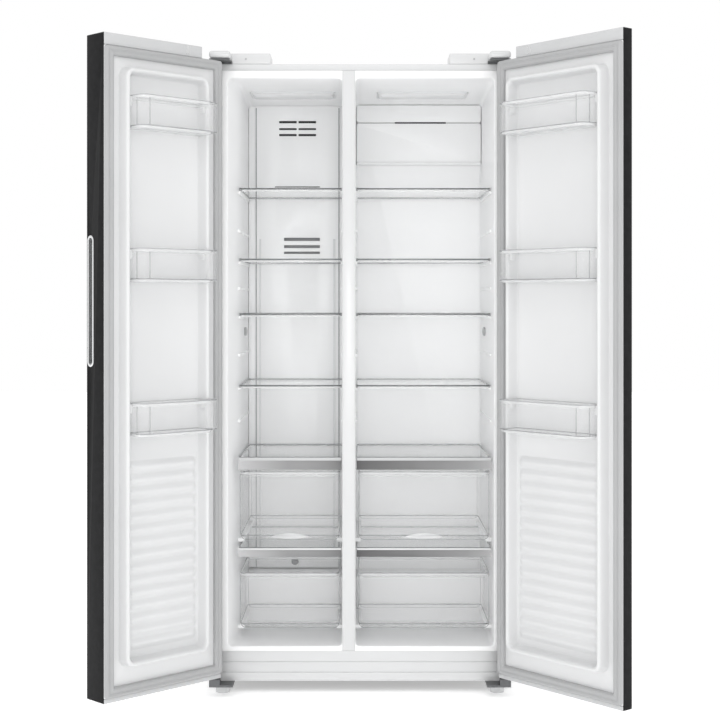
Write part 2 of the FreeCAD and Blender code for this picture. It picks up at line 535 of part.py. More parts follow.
    # magnetic gasket ring
    x0, x1 = span(1, 1)
    ring_out = box(tag + "_ring_out", x0, x1, "door_inner", "gasket_face", "foot_cap_top+1", "cap_bottom-1")
    x0, x1 = span("1+gasket_width" if sign > 0 else "1-gasket_width", "1+gasket_width")
    if sign > 0:
        ring_in = box(tag + "_ring_in", "right_free+1+gasket_width", "hinge_edge-1-gasket_width", "door_inner-1", 5,
                      "foot_cap_top+1+gasket_width", "cap_bottom-1-gasket_width")
    else:
        ring_in = box(tag + "_ring_in", "-hinge_edge+1+gasket_width", "left_free-1-gasket_width", "door_inner-1", 5,
                      "foot_cap_top+1+gasket_width", "cap_bottom-1-gasket_width")
    # the ring starts under the lowered corner at the hinge side
    if sign > 0:
        ring_gap = box(tag + "_ring_gap", "hinge_edge-corner_length-1", "hinge_edge+1", "door_inner-1", "door_inner+0.2", "corner_bottom", "corner_top+5")
    else:
        ring_gap = box(tag + "_ring_gap", "-hinge_edge-1", "-hinge_edge+corner_length+1", "door_inner-1", "door_inner+0.2", "corner_bottom", "corner_top+5")
    # its corner at the hinge is bevelled, so that it swings past the cabinet face without touching
    side = 1 if sign > 0 else -1
    bevel = [(side * 417.5, -2.686), (side * 417.5, 1.0), (side * 398.19, 1.0)]
    ring_bevel = prism(tag + "_ring_bevel", bevel, "foot_cap_top-5", "cap_bottom+5")
    finish(cut(tag + "_ring", ring_out, ring_in, ring_gap, ring_bevel), tag + "_door_gasket", tag)

    # top end cap with a lowered corner that takes the hinge pin
    x0, x1 = span(1, "corner_length")
    cap_main = sloped(tag + "_cap_main_s", box(tag + "_cap_main", x0, x1, "door_front+1", "door_inner", "cap_bottom", "door_top"), "1.4142")
    x0, x1 = near_hinge(0, "corner_length")
    cap_corner = box(tag + "_cap_corner", x0, x1, "door_front", "door_inner", "corner_bottom", "corner_top")
    px = "%d*pivot_x" % sign
    pin_hole = rod(tag + "_cap_hole", px, "pivot_y", 1729, "pin_hole", 40)
    finish(cut(tag + "_cap", fuse(tag + "_cap_all", cap_main, cap_corner), pin_hole), tag + "_door_top_cap", tag)

    x0, x1 = span(1, 1)
    base_cap = sloped(tag + "_base_cap_s", box(tag + "_base_cap", x0, x1, "door_front+1", "door_inner", "door_bottom", "foot_cap_top"), "1.4142")
    base_hole = rod(tag + "_base_hole", px, "pivot_y", "door_bottom-1", "pin_hole", 12)
    finish(cut(tag + "_base", base_cap, base_hole), tag + "_door_bottom_cap", tag)


door("left")
door("right")

# recessed grip trim in the left door's free edge: a U-section tray
grip_out = box("grip_out", "left_free-grip_depth", "left_free+0.5", "grip_front", "grip_rear", "grip_bottom", "grip_top")
grip_in = box("grip_in", "left_free-grip_depth+2", "left_free+5", "grip_front+2", "grip_rear-2", "grip_bottom+2", "grip_top-2")
finish(cut("door_grip", grip_out, grip_in), "left_door_grip", "left")

# ---------------------------------------------------------------- door bins
BIN_LEVELS = [("top", 1538.0), ("middle", 1141.0), ("bottom", 740.0)]


def door_bin(tag, level, z):
    """A clear open-topped bin with rounded front corners that sits between the ridges of the door liner."""
    name = "%s_bin_%s" % (tag, level)
    xa, xb = tag + "_ridge_a+ridge_width+1", tag + "_ridge_b-ridge_width-1"
    outer = prism(name + "_out", [(xa, "bin_back"), (xb, "bin_back"), (xb, "bin_front-bin_corner"), (xb + "-7", "bin_front-7"),
                                  (xb + "-bin_corner", "bin_front"), (xa + "+bin_corner", "bin_front"), (xa + "+7", "bin_front-7"),
                                  (xa, "bin_front-bin_corner")], z, "%s+bin_height" % z)
    wa, wb = xa + "+bin_wall", xb + "-bin_wall"
    inner = prism(name + "_in", [(wa, "bin_back+bin_wall"), (wb, "bin_back+bin_wall"), (wb, "bin_front-bin_corner-1"), (wb + "-6.5", "bin_front-9.5"),
                                 (wb + "-bin_corner+1", "bin_front-bin_wall"), (wa + "+bin_corner-1", "bin_front-bin_wall"), (wa + "+6.5", "bin_front-9.5"),
                                 (wa, "bin_front-bin_corner-1")], "%s+bin_wall" % z, "%s+bin_height+2" % z)
    # the end on the hinge side wraps over the liner's ridge
    if tag == "left":
        end = ("-351", "-331", "-348.5", "-335.5")
    else:
        end = ("339", "357", "343.5", "354.5")
    wrap_end = box(name + "_end", end[0], end[1], 27, 50, z, "%s+bin_height" % z)
    wrap_room = box(name + "_end_room", end[2], end[3], 29.5, 47.5, "%s+bin_wall" % z, "%s+bin_height+2" % z)
    finish(cut(name, fuse(name + "_whole", outer, wrap_end), inner, wrap_room), name, tag)


for level, z in BIN_LEVELS:
    door_bin("left", level, z)
    door_bin("right", level, z)

# ---------------------------------------------------------------- shelves
for side in ("freezer", "fridge"):
    xa, xb = side + "_shelf_a", side + "_shelf_b"
    for i, top in enumerate(SHELF_TOPS, start=1):
        finish(box("%s_glass_%d" % (side, i), xa, xb, "shelf_front", "shelf_rear", "%s-glass_thick" % top, top), "%s_shelf_%d" % (side, i))
    for word, top, skirt in (("upper", 652.0, 34), ("lower", 398.0, 25)):
        pane = box("%s_%s_pane" % (side, word), xa, xb, "trim_front+12", "shelf_rear" if word == "upper" else "shelf_rear",
                   "%s-glass_thick" % top, top)
        finish(pane, "%s_trim_shelf_%s" % (side, word))
        bar = prism("%s_%s_bar" % (side, word), [("trim_front", "%s-%s" % (top, skirt)), ("trim_front+5", "%s-%s" % (top, skirt)),
                                                ("trim_front+5", "%s-glass_thick-1" % top), ("trim_front+12", "%s-glass_thick-1" % top),
                                                ("trim_front+12", top), ("trim_front+2.5", top), ("trim_front", "%s-2.5" % top)],
                    xa, xb, "YZ_Plane")
        finish(bar, "%s_shelf_trim_%s" % (side, word))


# ---------------------------------------------------------------- drawers
def drawer(side, word):
    """A clear open-topped drawer with a thicker rim at the front."""
    name = "%s_drawer_%s" % (side, word)
    xa, xb = side + "_drawer_a", side + "_drawer_b"
    z0, z1, rear = word + "_drawer_bottom", word + "_drawer_top", word + "_drawer_rear"
    tub = box(name + "_tub", xa, xb, "drawer_front", rear, z0, z1)
    tubf = doc.addObject("Part::Fillet", name + "_round")
    tubf.Base = tub
    doc.recompute()
    corners = [i + 1 for i, e in enumerate(tub.Shape.Edges)
               if abs(e.BoundBox.ZLength) < 1e-3 and abs(e.BoundBox.YLength) > 10 and abs(e.BoundBox.ZMin - VALUE[z0]) < 1e-3]
    tubf.Edges = [(i, 14.0, 14.0) for i in corners]
    room = box(name + "_room", xa + "+drawer_wall", xb + "-drawer_wall", "drawer_front+3.5", rear + "-drawer_wall", z0 + "+drawer_wall", z1 + "+2")
    roomf = doc.addObject("Part::Fillet", name + "_room_round")
    roomf.Base = room
    doc.recompute()
    low = [i + 1 for i, e in enumerate(room.Shape.Edges)
           if abs(e.BoundBox.ZLength) < 1e-3 and abs(e.BoundBox.YLength) > 10 and abs(e.BoundBox.ZMin - VALUE[z0] - VALUE["drawer_wall"]) < 1e-3]
    roomf.Edges = [(i, 11.5, 11.5) for i in low]
    finish(cut(name, tubf, roomf), name)


for side in ("freezer", "fridge"):
    drawer(side, "upper")
    drawer(side, "lower")

# ---------------------------------------------------------------- recompute, check and write
doc.recompute()
bad = []
for o in doc.Objects:
    if "Invalid" in o.State or "Error" in o.State:
        bad.append("%s (%s): %s" % (o.Name, o.Label, o.State))
for o, label in PARTS:
    s = o.Shape
    if s.isNull() or not s.isValid() or not s.Solids:
        bad.append("%s: null, invalid or without a solid" % label)
if bad:
    raise RuntimeError("\n".join(bad))



def s_volume(o):
    return o.Shape.Volume


os.makedirs("parts", exist_ok=True)
low, high = [1e9] * 3, [-1e9] * 3
for o, label in PARTS:
    b = o.Shape.BoundBox
    for i, (a, c) in enumerate(((b.XMin, b.XMax), (b.YMin, b.YMax), (b.ZMin, b.ZMax))):
        low[i], high[i] = min(low[i], a), max(high[i], c)
    o.Shape.exportStep("parts/%s.step" % label)
    print("%-26s %8.1f %8.1f %8.1f %8.1f %8.1f %8.1f  vol %10.0f solids %d" % (label, b.XMin, b.XMax, b.YMin, b.YMax, b.ZMin, b.ZMax, s_volume(o), len(o.Shape.Solids)))
print("sub-parts:", len(PARTS))
print("box low:", [round(v, 3) for v in low], "high:", [round(v, 3) for v in high])
print("centre offset to take out:", round(-(low[0] + high[0]) / 2, 4), round(-(low[1] + high[1]) / 2, 4))
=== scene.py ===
import math

import bmesh
import bpy
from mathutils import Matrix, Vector


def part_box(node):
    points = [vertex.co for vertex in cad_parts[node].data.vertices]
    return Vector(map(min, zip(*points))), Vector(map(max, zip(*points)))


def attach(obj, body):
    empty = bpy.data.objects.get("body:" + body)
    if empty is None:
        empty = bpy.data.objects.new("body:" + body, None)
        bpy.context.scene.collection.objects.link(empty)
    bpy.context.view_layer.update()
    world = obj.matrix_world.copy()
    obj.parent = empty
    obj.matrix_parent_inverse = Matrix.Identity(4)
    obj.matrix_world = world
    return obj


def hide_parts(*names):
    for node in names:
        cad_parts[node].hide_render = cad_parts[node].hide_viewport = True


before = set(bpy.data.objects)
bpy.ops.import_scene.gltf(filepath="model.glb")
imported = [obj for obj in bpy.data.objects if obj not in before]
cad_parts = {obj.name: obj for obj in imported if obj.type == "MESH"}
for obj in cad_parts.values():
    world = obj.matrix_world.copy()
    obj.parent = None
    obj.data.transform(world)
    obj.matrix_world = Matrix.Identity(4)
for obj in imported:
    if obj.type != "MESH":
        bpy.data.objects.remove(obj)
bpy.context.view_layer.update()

# ------------------------------------------------------------------ frames
_lo, _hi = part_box("outer_wrap")
SX, SY = (_lo.x + _hi.x) * 500.0, _lo.y * 1000.0
PIV_X, PIV_Y = 406.0, -33.0
ANGLE = {"left": math.radians(-135.5), "right": math.radians(130.0)}
HINGE = {"left": -417.0, "right": 417.0}
FREE = {"left": -29.0, "right": -25.0}
RIDGE = {"left": (-354.0, -74.0), "right": (20.0, 362.0)}


def cab(p):
    """Cabinet millimetres to the row frame in metres."""
    return Vector(((p[0] + SX) / 1000.0, (p[1] + SY) / 1000.0, p[2] / 1000.0))


def door_frame(tag):
    """The same for a door drawn shut and then turned to where it stands."""
    sign = -1.0 if tag == "left" else 1.0
    c, s = math.cos(ANGLE[tag]), math.sin(ANGLE[tag])

    def turn(p):
        dx, dy = p[0] - sign * PIV_X, p[1] - PIV_Y
        return cab((sign * PIV_X + dx * c - dy * s, PIV_Y + dx * s + dy * c, p[2]))
    return turn


# ------------------------------------------------------------------ camera first
cam_data = bpy.data.cameras.new("camera")
cam_data.lens = 73.6
cam_data.sensor_width = 36.0
cam_data.shift_y = -0.0764
cam_data.clip_end = 60.0
cam = bpy.data.objects.new("camera", cam_data)
bpy.context.scene.collection.objects.link(cam)
cam.location = cab((0.0, -4100.0, 1081.0))
cam.rotation_euler = (math.radians(90.0), 0.0, 0.0)
bpy.context.scene.camera = cam

# ------------------------------------------------------------------ materials


def mk(name, color, rough, metallic=0.0, var=0.02, scale=5.0, bump=0.05, bump_scale=260.0, stretch=(1, 1, 1),
       alpha=None, coat=0.0, spec=0.5, rough_var=0.04, distance=0.0006, reflection_grad=None, transmission=None, ior=None, sheen=0.0):
    m = bpy.data.materials.new(name)
    m.use_nodes = True
    nt = m.node_tree
    b = nt.nodes["Principled BSDF"]
    tex = nt.nodes.new("ShaderNodeTexCoord")
    mp = nt.nodes.new("ShaderNodeMapping")
    mp.inputs["Scale"].default_value = stretch
    nt.links.new(tex.outputs["Object"], mp.inputs["Vector"])
    broad = nt.nodes.new("ShaderNodeTexNoise")
    broad.inputs["Scale"].default_value = scale
    broad.inputs["Detail"].default_value = 4.0
    nt.links.new(mp.outputs["Vector"], broad.inputs["Vector"])
    ramp = nt.nodes.new("ShaderNodeValToRGB")
    ramp.color_ramp.elements[0].position = 0.32
    ramp.color_ramp.elements[1].position = 0.68
    lo = [max(0.0, c * (1 - var)) for c in color[:3]] + [1.0]
    hi = [min(1.0, c * (1 + var)) for c in color[:3]] + [1.0]
    ramp.color_ramp.elements[0].color = lo
    ramp.color_ramp.elements[1].color = hi
    nt.links.new(broad.outputs["Fac"], ramp.inputs["Fac"])
    color_out = ramp.outputs["Color"]
    if reflection_grad is not None:
        # painted reflection: a slow change of tone along X, standing in for the light and dark bands a bright strip
        # shows under studio light
        sep = nt.nodes.new("ShaderNodeSeparateXYZ")
        nt.links.new(tex.outputs["Object"], sep.inputs["Vector"])
        rng = nt.nodes.new("ShaderNodeMapRange")
        rng.inputs["From Min"].default_value = reflection_grad[0]
        rng.inputs["From Max"].default_value = reflection_grad[1]
        nt.links.new(sep.outputs["X"], rng.inputs["Value"])
        r2 = nt.nodes.new("ShaderNodeValToRGB")
        els = r2.color_ramp.elements
        while len(els) < len(reflection_grad[2]):
            els.new(0.5)
        for e, (pos, tone) in zip(els, reflection_grad[2]):
            e.position = pos
            e.color = (tone, tone, tone * 1.01, 1.0)
        nt.links.new(rng.outputs["Result"], r2.inputs["Fac"])
        mul = nt.nodes.new("ShaderNodeMix")
        mul.data_type = "RGBA"
        mul.blend_type = "MULTIPLY"
        mul.inputs["Factor"].default_value = 1.0
        nt.links.new(color_out, mul.inputs["A"])
        nt.links.new(r2.outputs["Color"], mul.inputs["B"])
        color_out = mul.outputs["Result"]
    nt.links.new(color_out, b.inputs["Base Color"])
    fine = nt.nodes.new("ShaderNodeTexNoise")
    fine.inputs["Scale"].default_value = bump_scale
    fine.inputs["Detail"].default_value = 3.0
    nt.links.new(mp.outputs["Vector"], fine.inputs["Vector"])
    bm = nt.nodes.new("ShaderNodeBump")
    bm.inputs["Strength"].default_value = bump
    bm.inputs["Distance"].default_value = distance
    nt.links.new(fine.outputs["Fac"], bm.inputs["Height"])
    nt.links.new(bm.outputs["Normal"], b.inputs["Normal"])
    if rough_var > 0:
        mr = nt.nodes.new("ShaderNodeMapRange")
        mr.inputs["To Min"].default_value = max(0.02, rough - rough_var)
        mr.inputs["To Max"].default_value = min(1.0, rough + rough_var)
        nt.links.new(broad.outputs["Fac"], mr.inputs["Value"])
        nt.links.new(mr.outputs["Result"], b.inputs["Roughness"])
    else:
        b.inputs["Roughness"].default_value = rough
    b.inputs["Metallic"].default_value = metallic
    b.inputs["Specular IOR Level"].default_value = spec
    if coat:
        b.inputs["Coat Weight"].default_value = coat
        b.inputs["Coat Roughness"].default_value = 0.08
    if alpha is not None:
        b.inputs["Alpha"].default_value = alpha
    if transmission is not None:
        b.inputs["Transmission Weight"].default_value = transmission
    if ior is not None:
        b.inputs["IOR"].default_value = ior
    m.diffuse_color = (color[0], color[1], color[2], alpha if alpha is not None else 1.0)
    return m


M_STEEL = mk("white_enamel", (0.655, 0.659, 0.663), 0.30, var=0.008, bump=0.10, bump_scale=420, coat=0.25)
M_LINER = mk("white_liner_plastic", (0.93, 0.932, 0.935), 0.34, var=0.010, bump=0.08, bump_scale=320)
M_DUCT = mk("white_cover_plastic", (0.925, 0.928, 0.93), 0.30, var=0.010, bump=0.05, bump_scale=380)
# a darker copy of the white cover plastic: painted shade, for the duct's groove bands and the lamp frames
M_COVER_PAINTED_SHADE = mk("white_cover_painted_shade", (0.74, 0.745, 0.75), 0.36, var=0.015, bump=0.05, bump_scale=380)
M_DLINER = mk("door_liner_plastic", (0.705, 0.709, 0.713), 0.36, var=0.010, bump=0.08, bump_scale=320)
M_BLACK = mk("black_door_paint", (0.0118, 0.0118, 0.0125), 0.50, var=0.22, scale=60, bump=0.22, bump_scale=900, spec=0.09, distance=0.0004)
M_CAP = mk("light_grey_cap", (0.56, 0.565, 0.57), 0.42, var=0.015, bump=0.10, bump_scale=500)
M_GASKET = mk("grey_gasket", (0.41, 0.413, 0.417), 0.55, var=0.03, bump=0.12, bump_scale=700)
M_CLEAR = mk("clear_styrene", (0.90, 0.905, 0.91), 0.07, var=0.01, alpha=0.085, bump=0.01, bump_scale=420, spec=0.6, rough_var=0.03)
M_RIM = mk("clear_styrene_rim", (0.86, 0.865, 0.87), 0.10, var=0.02, alpha=0.42, bump=0.01, bump_scale=420, spec=0.6, rough_var=0.03)
# dark grey edge lines on the clear plastic and glass: painted shade, for the dark lines light bending at clear edges
# draws
M_EDGE_PAINTED_SHADE = mk("clear_styrene_painted_edge_shade", (0.36, 0.37, 0.375), 0.12, var=0.05, alpha=0.50, bump=0.01, bump_scale=420, spec=0.6, rough_var=0.03)
M_GLASS = mk("shelf_glass_clear", (0.86, 0.885, 0.885), 0.04, var=0.01, alpha=0.08, bump=0.01, bump_scale=30, spec=0.7, rough_var=0.02)
M_EDGE = mk("shelf_glass_edge", (0.11, 0.12, 0.12), 0.16, var=0.14, scale=14, alpha=0.85, bump=0.03, bump_scale=200)
# trim face: its tone ramp along X is painted reflection of the studio light
M_TRIM = mk("trim_strip_painted_reflection", (0.98, 0.98, 0.98), 0.30, metallic=0.0, var=0.01, bump=0.03, bump_scale=900, stretch=(0.05, 1, 1), spec=0.35,
            reflection_grad=(-0.34, 0.38, [(0.0, 0.62), (0.08, 0.46), (0.20, 0.27), (0.35, 0.235), (0.42, 0.21), (0.46, 0.125), (0.69, 0.155), (0.80, 0.23),
                                (0.90, 0.31), (1.0, 0.48)]))
# lighter grey for the trim's top bevel: painted highlight
M_TRIM_HIGHLIGHT = mk("trim_bevel_painted_highlight", (0.60, 0.605, 0.61), 0.22, metallic=0.2, var=0.01, bump=0.02, bump_scale=900)
M_DARK = mk("dark_hinge_steel", (0.14, 0.14, 0.15), 0.42, metallic=0.5, var=0.08, bump=0.15, bump_scale=500)
M_HINGE = mk("zinc_hinge_steel", (0.13, 0.133, 0.137), 0.38, metallic=0.6, var=0.08, bump=0.15, bump_scale=500)
M_ZINC = mk("zinc_coated_steel", (0.50, 0.51, 0.52), 0.42, metallic=0.8, var=0.035, scale=60, bump=0.10, bump_scale=240)
M_COMP = mk("compressor_black", (0.025, 0.025, 0.027), 0.40, var=0.15, bump=0.15, bump_scale=420)
M_FINS = mk("aluminium_fins", (0.72, 0.73, 0.74), 0.35, metallic=0.9, var=0.05, bump=0.05, bump_scale=300)
M_FOOT = mk("foot_plastic", (0.68, 0.685, 0.69), 0.45, var=0.03, bump=0.12, bump_scale=500)
M_FAN = mk("fan_plastic", (0.05, 0.05, 0.055), 0.45, var=0.05, bump=0.08, bump_scale=400)
M_FOAM = mk("blown_foam", (0.72, 0.62, 0.38), 0.85, var=0.10, scale=30, bump=0.4, bump_scale=300)
# near-black for slots and recesses: painted shade
M_RECESS_PAINTED_SHADE = mk("recess_painted_shade", (0.045, 0.047, 0.05), 0.60, var=0.10, bump=0.1, bump_scale=300)
M_GREY = mk("mid_grey_plastic", (0.42, 0.425, 0.43), 0.40, var=0.03, bump=0.08, bump_scale=400)
M_LENS = mk("frosted_lens", (0.88, 0.885, 0.89), 0.26, var=0.01, bump=0.18, bump_scale=520)
M_SILVER = mk("satin_silver", (0.74, 0.745, 0.75), 0.26, metallic=0.9, var=0.02, bump=0.05, bump_scale=900, stretch=(1, 1, 0.05))
# dark grey for the grip's groove floor: painted shade
M_GRIP_PAINTED_SHADE = mk("grip_recess_painted_shade", (0.20, 0.205, 0.21), 0.45, var=0.05, bump=0.08, bump_scale=500)
M_LINE = mk("shadow_gap", (0.30, 0.305, 0.31), 0.55, var=0.08, bump=0.08, bump_scale=500)
M_SCREW = mk("screw_steel", (0.45, 0.455, 0.46), 0.30, metallic=0.9, var=0.05, bump=0.05, bump_scale=500)

# ------------------------------------------------------------------ mesh makers
# every maker gives (points, faces) in millimetres; add() places them


def rr(u0, u1, v0, v1, r, seg=6):
    """A rounded rectangle, anticlockwise from the (u0, v0) corner. r is one radius or four."""
    rs = list(r) if isinstance(r, (tuple, list)) else [r] * 4
    rs = [max(0.05, min(q, abs(u1 - u0) / 2 - 0.01, abs(v1 - v0) / 2 - 0.01)) for q in rs]
    out = []
    for k, (cu, cv, start) in enumerate(((u0 + rs[0], v0 + rs[0], 180), (u1 - rs[1], v0 + rs[1], 270),
                                         (u1 - rs[2], v1 - rs[2], 0), (u0 + rs[3], v1 - rs[3], 90))):
        for i in range(seg + 1):
            a = math.radians(start + 90.0 * i / seg)
            out.append((cu + rs[k] * math.cos(a), cv + rs[k] * math.sin(a)))
    return out


ORDER = {
    "xz_y": lambda u, v, w: (u, w, v),
    "xy_z": lambda u, v, w: (u, v, w),
    "yz_x": lambda u, v, w: (w, u, v),
}


def loft(rings, order="xz_y", cap0=True, cap1=True, wrap=False, seg=6):
    """Joins rounded rectangles (u0, u1, v0, v1, r, w) one after another."""
    f = ORDER[order]
    pts, faces, n = [], [], 4 * (seg + 1)
    for ring in rings:
        pts += [f(u, v, ring[5]) for u, v in rr(*ring[:5], seg=seg)]
    count = len(rings)
    pairs = [(i, i + 1) for i in range(count - 1)] + ([(count - 1, 0)] if wrap else [])
    for a, b in pairs:
        for i in range(n):
            j = (i + 1) % n
            faces.append((a * n + i, a * n + j, b * n + j, b * n + i))
    if cap0 and not wrap:
        faces.append(tuple(reversed(range(n))))
    if cap1 and not wrap:
        faces.append(tuple(range((count - 1) * n, count * n)))
    return pts, faces


def inset(base, d, w, r=None):
    """The base rectangle (u0, u1, v0, v1, r) drawn in by d, at level w."""
    u0, u1, v0, v1, rad = base
    return (u0 + d, u1 - d, v0 + d, v1 - d, (rad if r is None else r), w)


def from_bm(bm):
    bm.verts.index_update()
    pts = [tuple(v.co) for v in bm.verts]
    faces = [tuple(v.index for v in f.verts) for f in bm.faces]
    bm.free()
    return pts, faces


def rbox(x0, x1, y0, y1, z0, z1, r=2.0, seg=3):
    """A block with all its edges rounded."""
    bm = bmesh.new()
    bmesh.ops.create_cube(bm, size=1.0)
    for v in bm.verts:
        v.co = Vector((x0 + (v.co.x + 0.5) * (x1 - x0), y0 + (v.co.y + 0.5) * (y1 - y0), z0 + (v.co.z + 0.5) * (z1 - z0)))
    r = min(r, abs(x1 - x0) * 0.45, abs(y1 - y0) * 0.45, abs(z1 - z0) * 0.45)
    if r > 0.01:
        bmesh.ops.bevel(bm, geom=list(bm.edges), offset=r, segments=seg, profile=0.5, affect="EDGES")
    return from_bm(bm)


def prism(poly, w0, w1, order="xz_y", r=0.0, seg=3):
    """An outline pushed between two levels, edges rounded."""
    f = ORDER[order]
    bm = bmesh.new()
    a = [bm.verts.new(f(u, v, w0)) for u, v in poly]
    b = [bm.verts.new(f(u, v, w1)) for u, v in poly]
    n = len(poly)
    bm.faces.new(a)
    bm.faces.new(list(reversed(b)))
    for i in range(n):
        j = (i + 1) % n
        bm.faces.new((a[j], a[i], b[i], b[j]))
    bmesh.ops.recalc_face_normals(bm, faces=list(bm.faces))
    if r > 0:
        bmesh.ops.bevel(bm, geom=list(bm.edges), offset=r, segments=seg, profile=0.5, affect="EDGES")
    return from_bm(bm)


def drum(cx, cy, cz, radius, length, axis="z", seg=32, r=0.8):
    """A round bar with softened rims, starting at a point."""
    prof = [(0.0, 0.0), (radius - r, 0.0), (radius - r * 0.3, r * 0.3), (radius, r), (radius, length - r),
            (radius - r * 0.3, length - r * 0.3), (radius - r, length), (0.0, length)]
    pts, faces = [], []
    for rad, h in prof[1:-1]:
        for i in range(seg):
            t = 2 * math.pi * i / seg
            pts.append((rad * math.cos(t), rad * math.sin(t), h))
    m = len(prof) - 2
    for k in range(m - 1):
        for i in range(seg):
            j = (i + 1) % seg
            faces.append((k * seg + i, k * seg + j, (k + 1) * seg + j, (k + 1) * seg + i))
    faces.append(tuple(reversed(range(seg))))
    faces.append(tuple(range((m - 1) * seg, m * seg)))
    place = {"z": lambda p: (cx + p[0], cy + p[1], cz + p[2]), "x": lambda p: (cx + p[2], cy + p[0], cz + p[1]),
             "y": lambda p: (cx + p[0], cy + p[2], cz - p[1])}[axis]
    return [place(p) for p in pts], faces


def merge(*parts):
    pts, faces = [], []
    for p, f in parts:
        k = len(pts)
        pts += list(p)
        faces += [tuple(i + k for i in q) for q in f]
    return pts, faces


def plate_with_holes(xs, zs, holes, y0, y1):
    """A flat plate between two y levels, cut through where holes lie on its grid lines."""
    xs, zs = sorted(set(xs)), sorted(set(zs))

    def solid(i, j):
        cx, cz = (xs[i] + xs[i + 1]) / 2, (zs[j] + zs[j + 1]) / 2
        return not any(a < cx < b and c < cz < d for a, b, c, d in holes)
    nx, nz = len(xs) - 1, len(zs) - 1
    index, pts, faces = {}, [], []

    def vert(i, j, k):
        if (i, j, k) not in index:
            index[(i, j, k)] = len(pts)
            pts.append((xs[i], (y0, y1)[k], zs[j]))
        return index[(i, j, k)]
    for i in range(nx):
        for j in range(nz):
            if not solid(i, j):
                continue
            faces.append((vert(i, j, 0), vert(i + 1, j, 0), vert(i + 1, j + 1, 0), vert(i, j + 1, 0)))
            faces.append((vert(i, j, 1), vert(i, j + 1, 1), vert(i + 1, j + 1, 1), vert(i + 1, j, 1)))
            for di, dj, a, b in ((-1, 0, (0, 0), (0, 1)), (1, 0, (1, 1), (1, 0)), (0, -1, (1, 0), (0, 0)), (0, 1, (0, 1), (1, 1))):
                ni, nj = i + di, j + dj
                if not (0 <= ni < nx and 0 <= nj < nz) or not solid(ni, nj):
                    faces.append((vert(i + a[0], j + a[1], 0), vert(i + b[0], j + b[1], 0), vert(i + b[0], j + b[1], 1), vert(i + a[0], j + a[1], 1)))
    return pts, faces


def add(name, mesh, mat, body, xf=cab, replaces=(), smooth=38.0, bevel=0.0):
    """Makes the piece, gives it its material, and lets it ride on its body."""
    pts, faces = mesh
    me = bpy.data.meshes.new(name)
    me.from_pydata([xf(p) for p in pts], [], faces)
    me.validate(clean_customdata=True)
    bm = bmesh.new()
    bm.from_mesh(me)
    bmesh.ops.remove_doubles(bm, verts=list(bm.verts), dist=0.00002)
    bmesh.ops.recalc_face_normals(bm, faces=list(bm.faces))
    if bevel > 0:
        sharp = [e for e in bm.edges if len(e.link_faces) == 2 and e.calc_face_angle(0.0) > math.radians(40)]
        bmesh.ops.bevel(bm, geom=sharp, offset=bevel / 1000.0, segments=2, profile=0.5, affect="EDGES")
    bm.to_mesh(me)
    bm.free()
    me.polygons.foreach_set("use_smooth", [True] * len(me.polygons))
    me.set_sharp_from_angle(angle=math.radians(smooth))
    me.materials.append(mat)
    o = bpy.data.objects.new(name, me)
    bpy.context.scene.collection.objects.link(o)
    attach(o, body)
    if replaces:
        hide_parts(*replaces)
    return o


def paint(node, mat):
    """A better material on a CAD node that stays."""
    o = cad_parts[node]
    if not o.data.materials:
        o.data.materials.append(mat)
    for i in range(len(o.data.materials)):
        o.data.materials[i] = mat


# ------------------------------------------------------------------ cabinet
base = (-417.5, 417.5, 34.0, 1752.0, 5.0)
wrap = loft([(-399.5, 399.5, 34.4, 1734.0, 1.0, 6.0), (-399.5, 399.5, 34.4, 1734.0, 1.0, 0.6), (-400.1, 400.1, 34.3, 1734.6, 1.0, 0.0),
             inset(base, 2.2, 0.0, 3.0), inset(base, 0.7, 0.6, 4.3), inset(base, 0.0, 2.2), inset(base, 0.0, 561.5),
             inset(base, 0.8, 563.4, 4.2), inset(base, 2.5, 564.0, 3.0)], cap0=False)
add("cabinet_top_seam", rbox(-414, 414, -0.2, 0.6, 1736.9, 1738.5, 0.3, 2), M_CAP, "cabinet")
add("cabinet_wrap", wrap, M_STEEL, "cabinet", replaces=("outer_wrap", "foam_insulation"), smooth=30)

beads = [rbox(x0, x1, 564.2, 564.95, 320, 1690, 0.3, 1) for x0, x1 in ((-330, -250), (-40, 40), (250, 330))]
add("rear_panel", merge(rbox(-417.0, 417.0, 564.0, 564.7, 250, 1751.5, 0.2, 2), *beads), M_ZINC, "cabinet", replaces=("back_panel",))

add("front_rail", merge(rbox(-399.3, 399.3, 0.1, 8, 88.2, 117.2, 1.2), rbox(-399.3, 399.3, 0.1, 8, 59.2, 86.8, 1.2),
                        rbox(-399.3, 399.3, 0.1, 8, 34.2, 57.8, 1.2), rbox(-399.3, 399.3, 2.0, 8, 34.4, 117, 0.4)),
    M_STEEL, "cabinet", replaces=("bottom_rail",))
add("mullion_strip", rbox(-48.4, -14.1, 0.0, 13, 117.4, 1733.6, 1.6, 3), M_STEEL, "cabinet", replaces=("centre_mullion",))


def ceiling(y):
    return 1712.0 - 15.0 * max(0.0, y) / 452.0


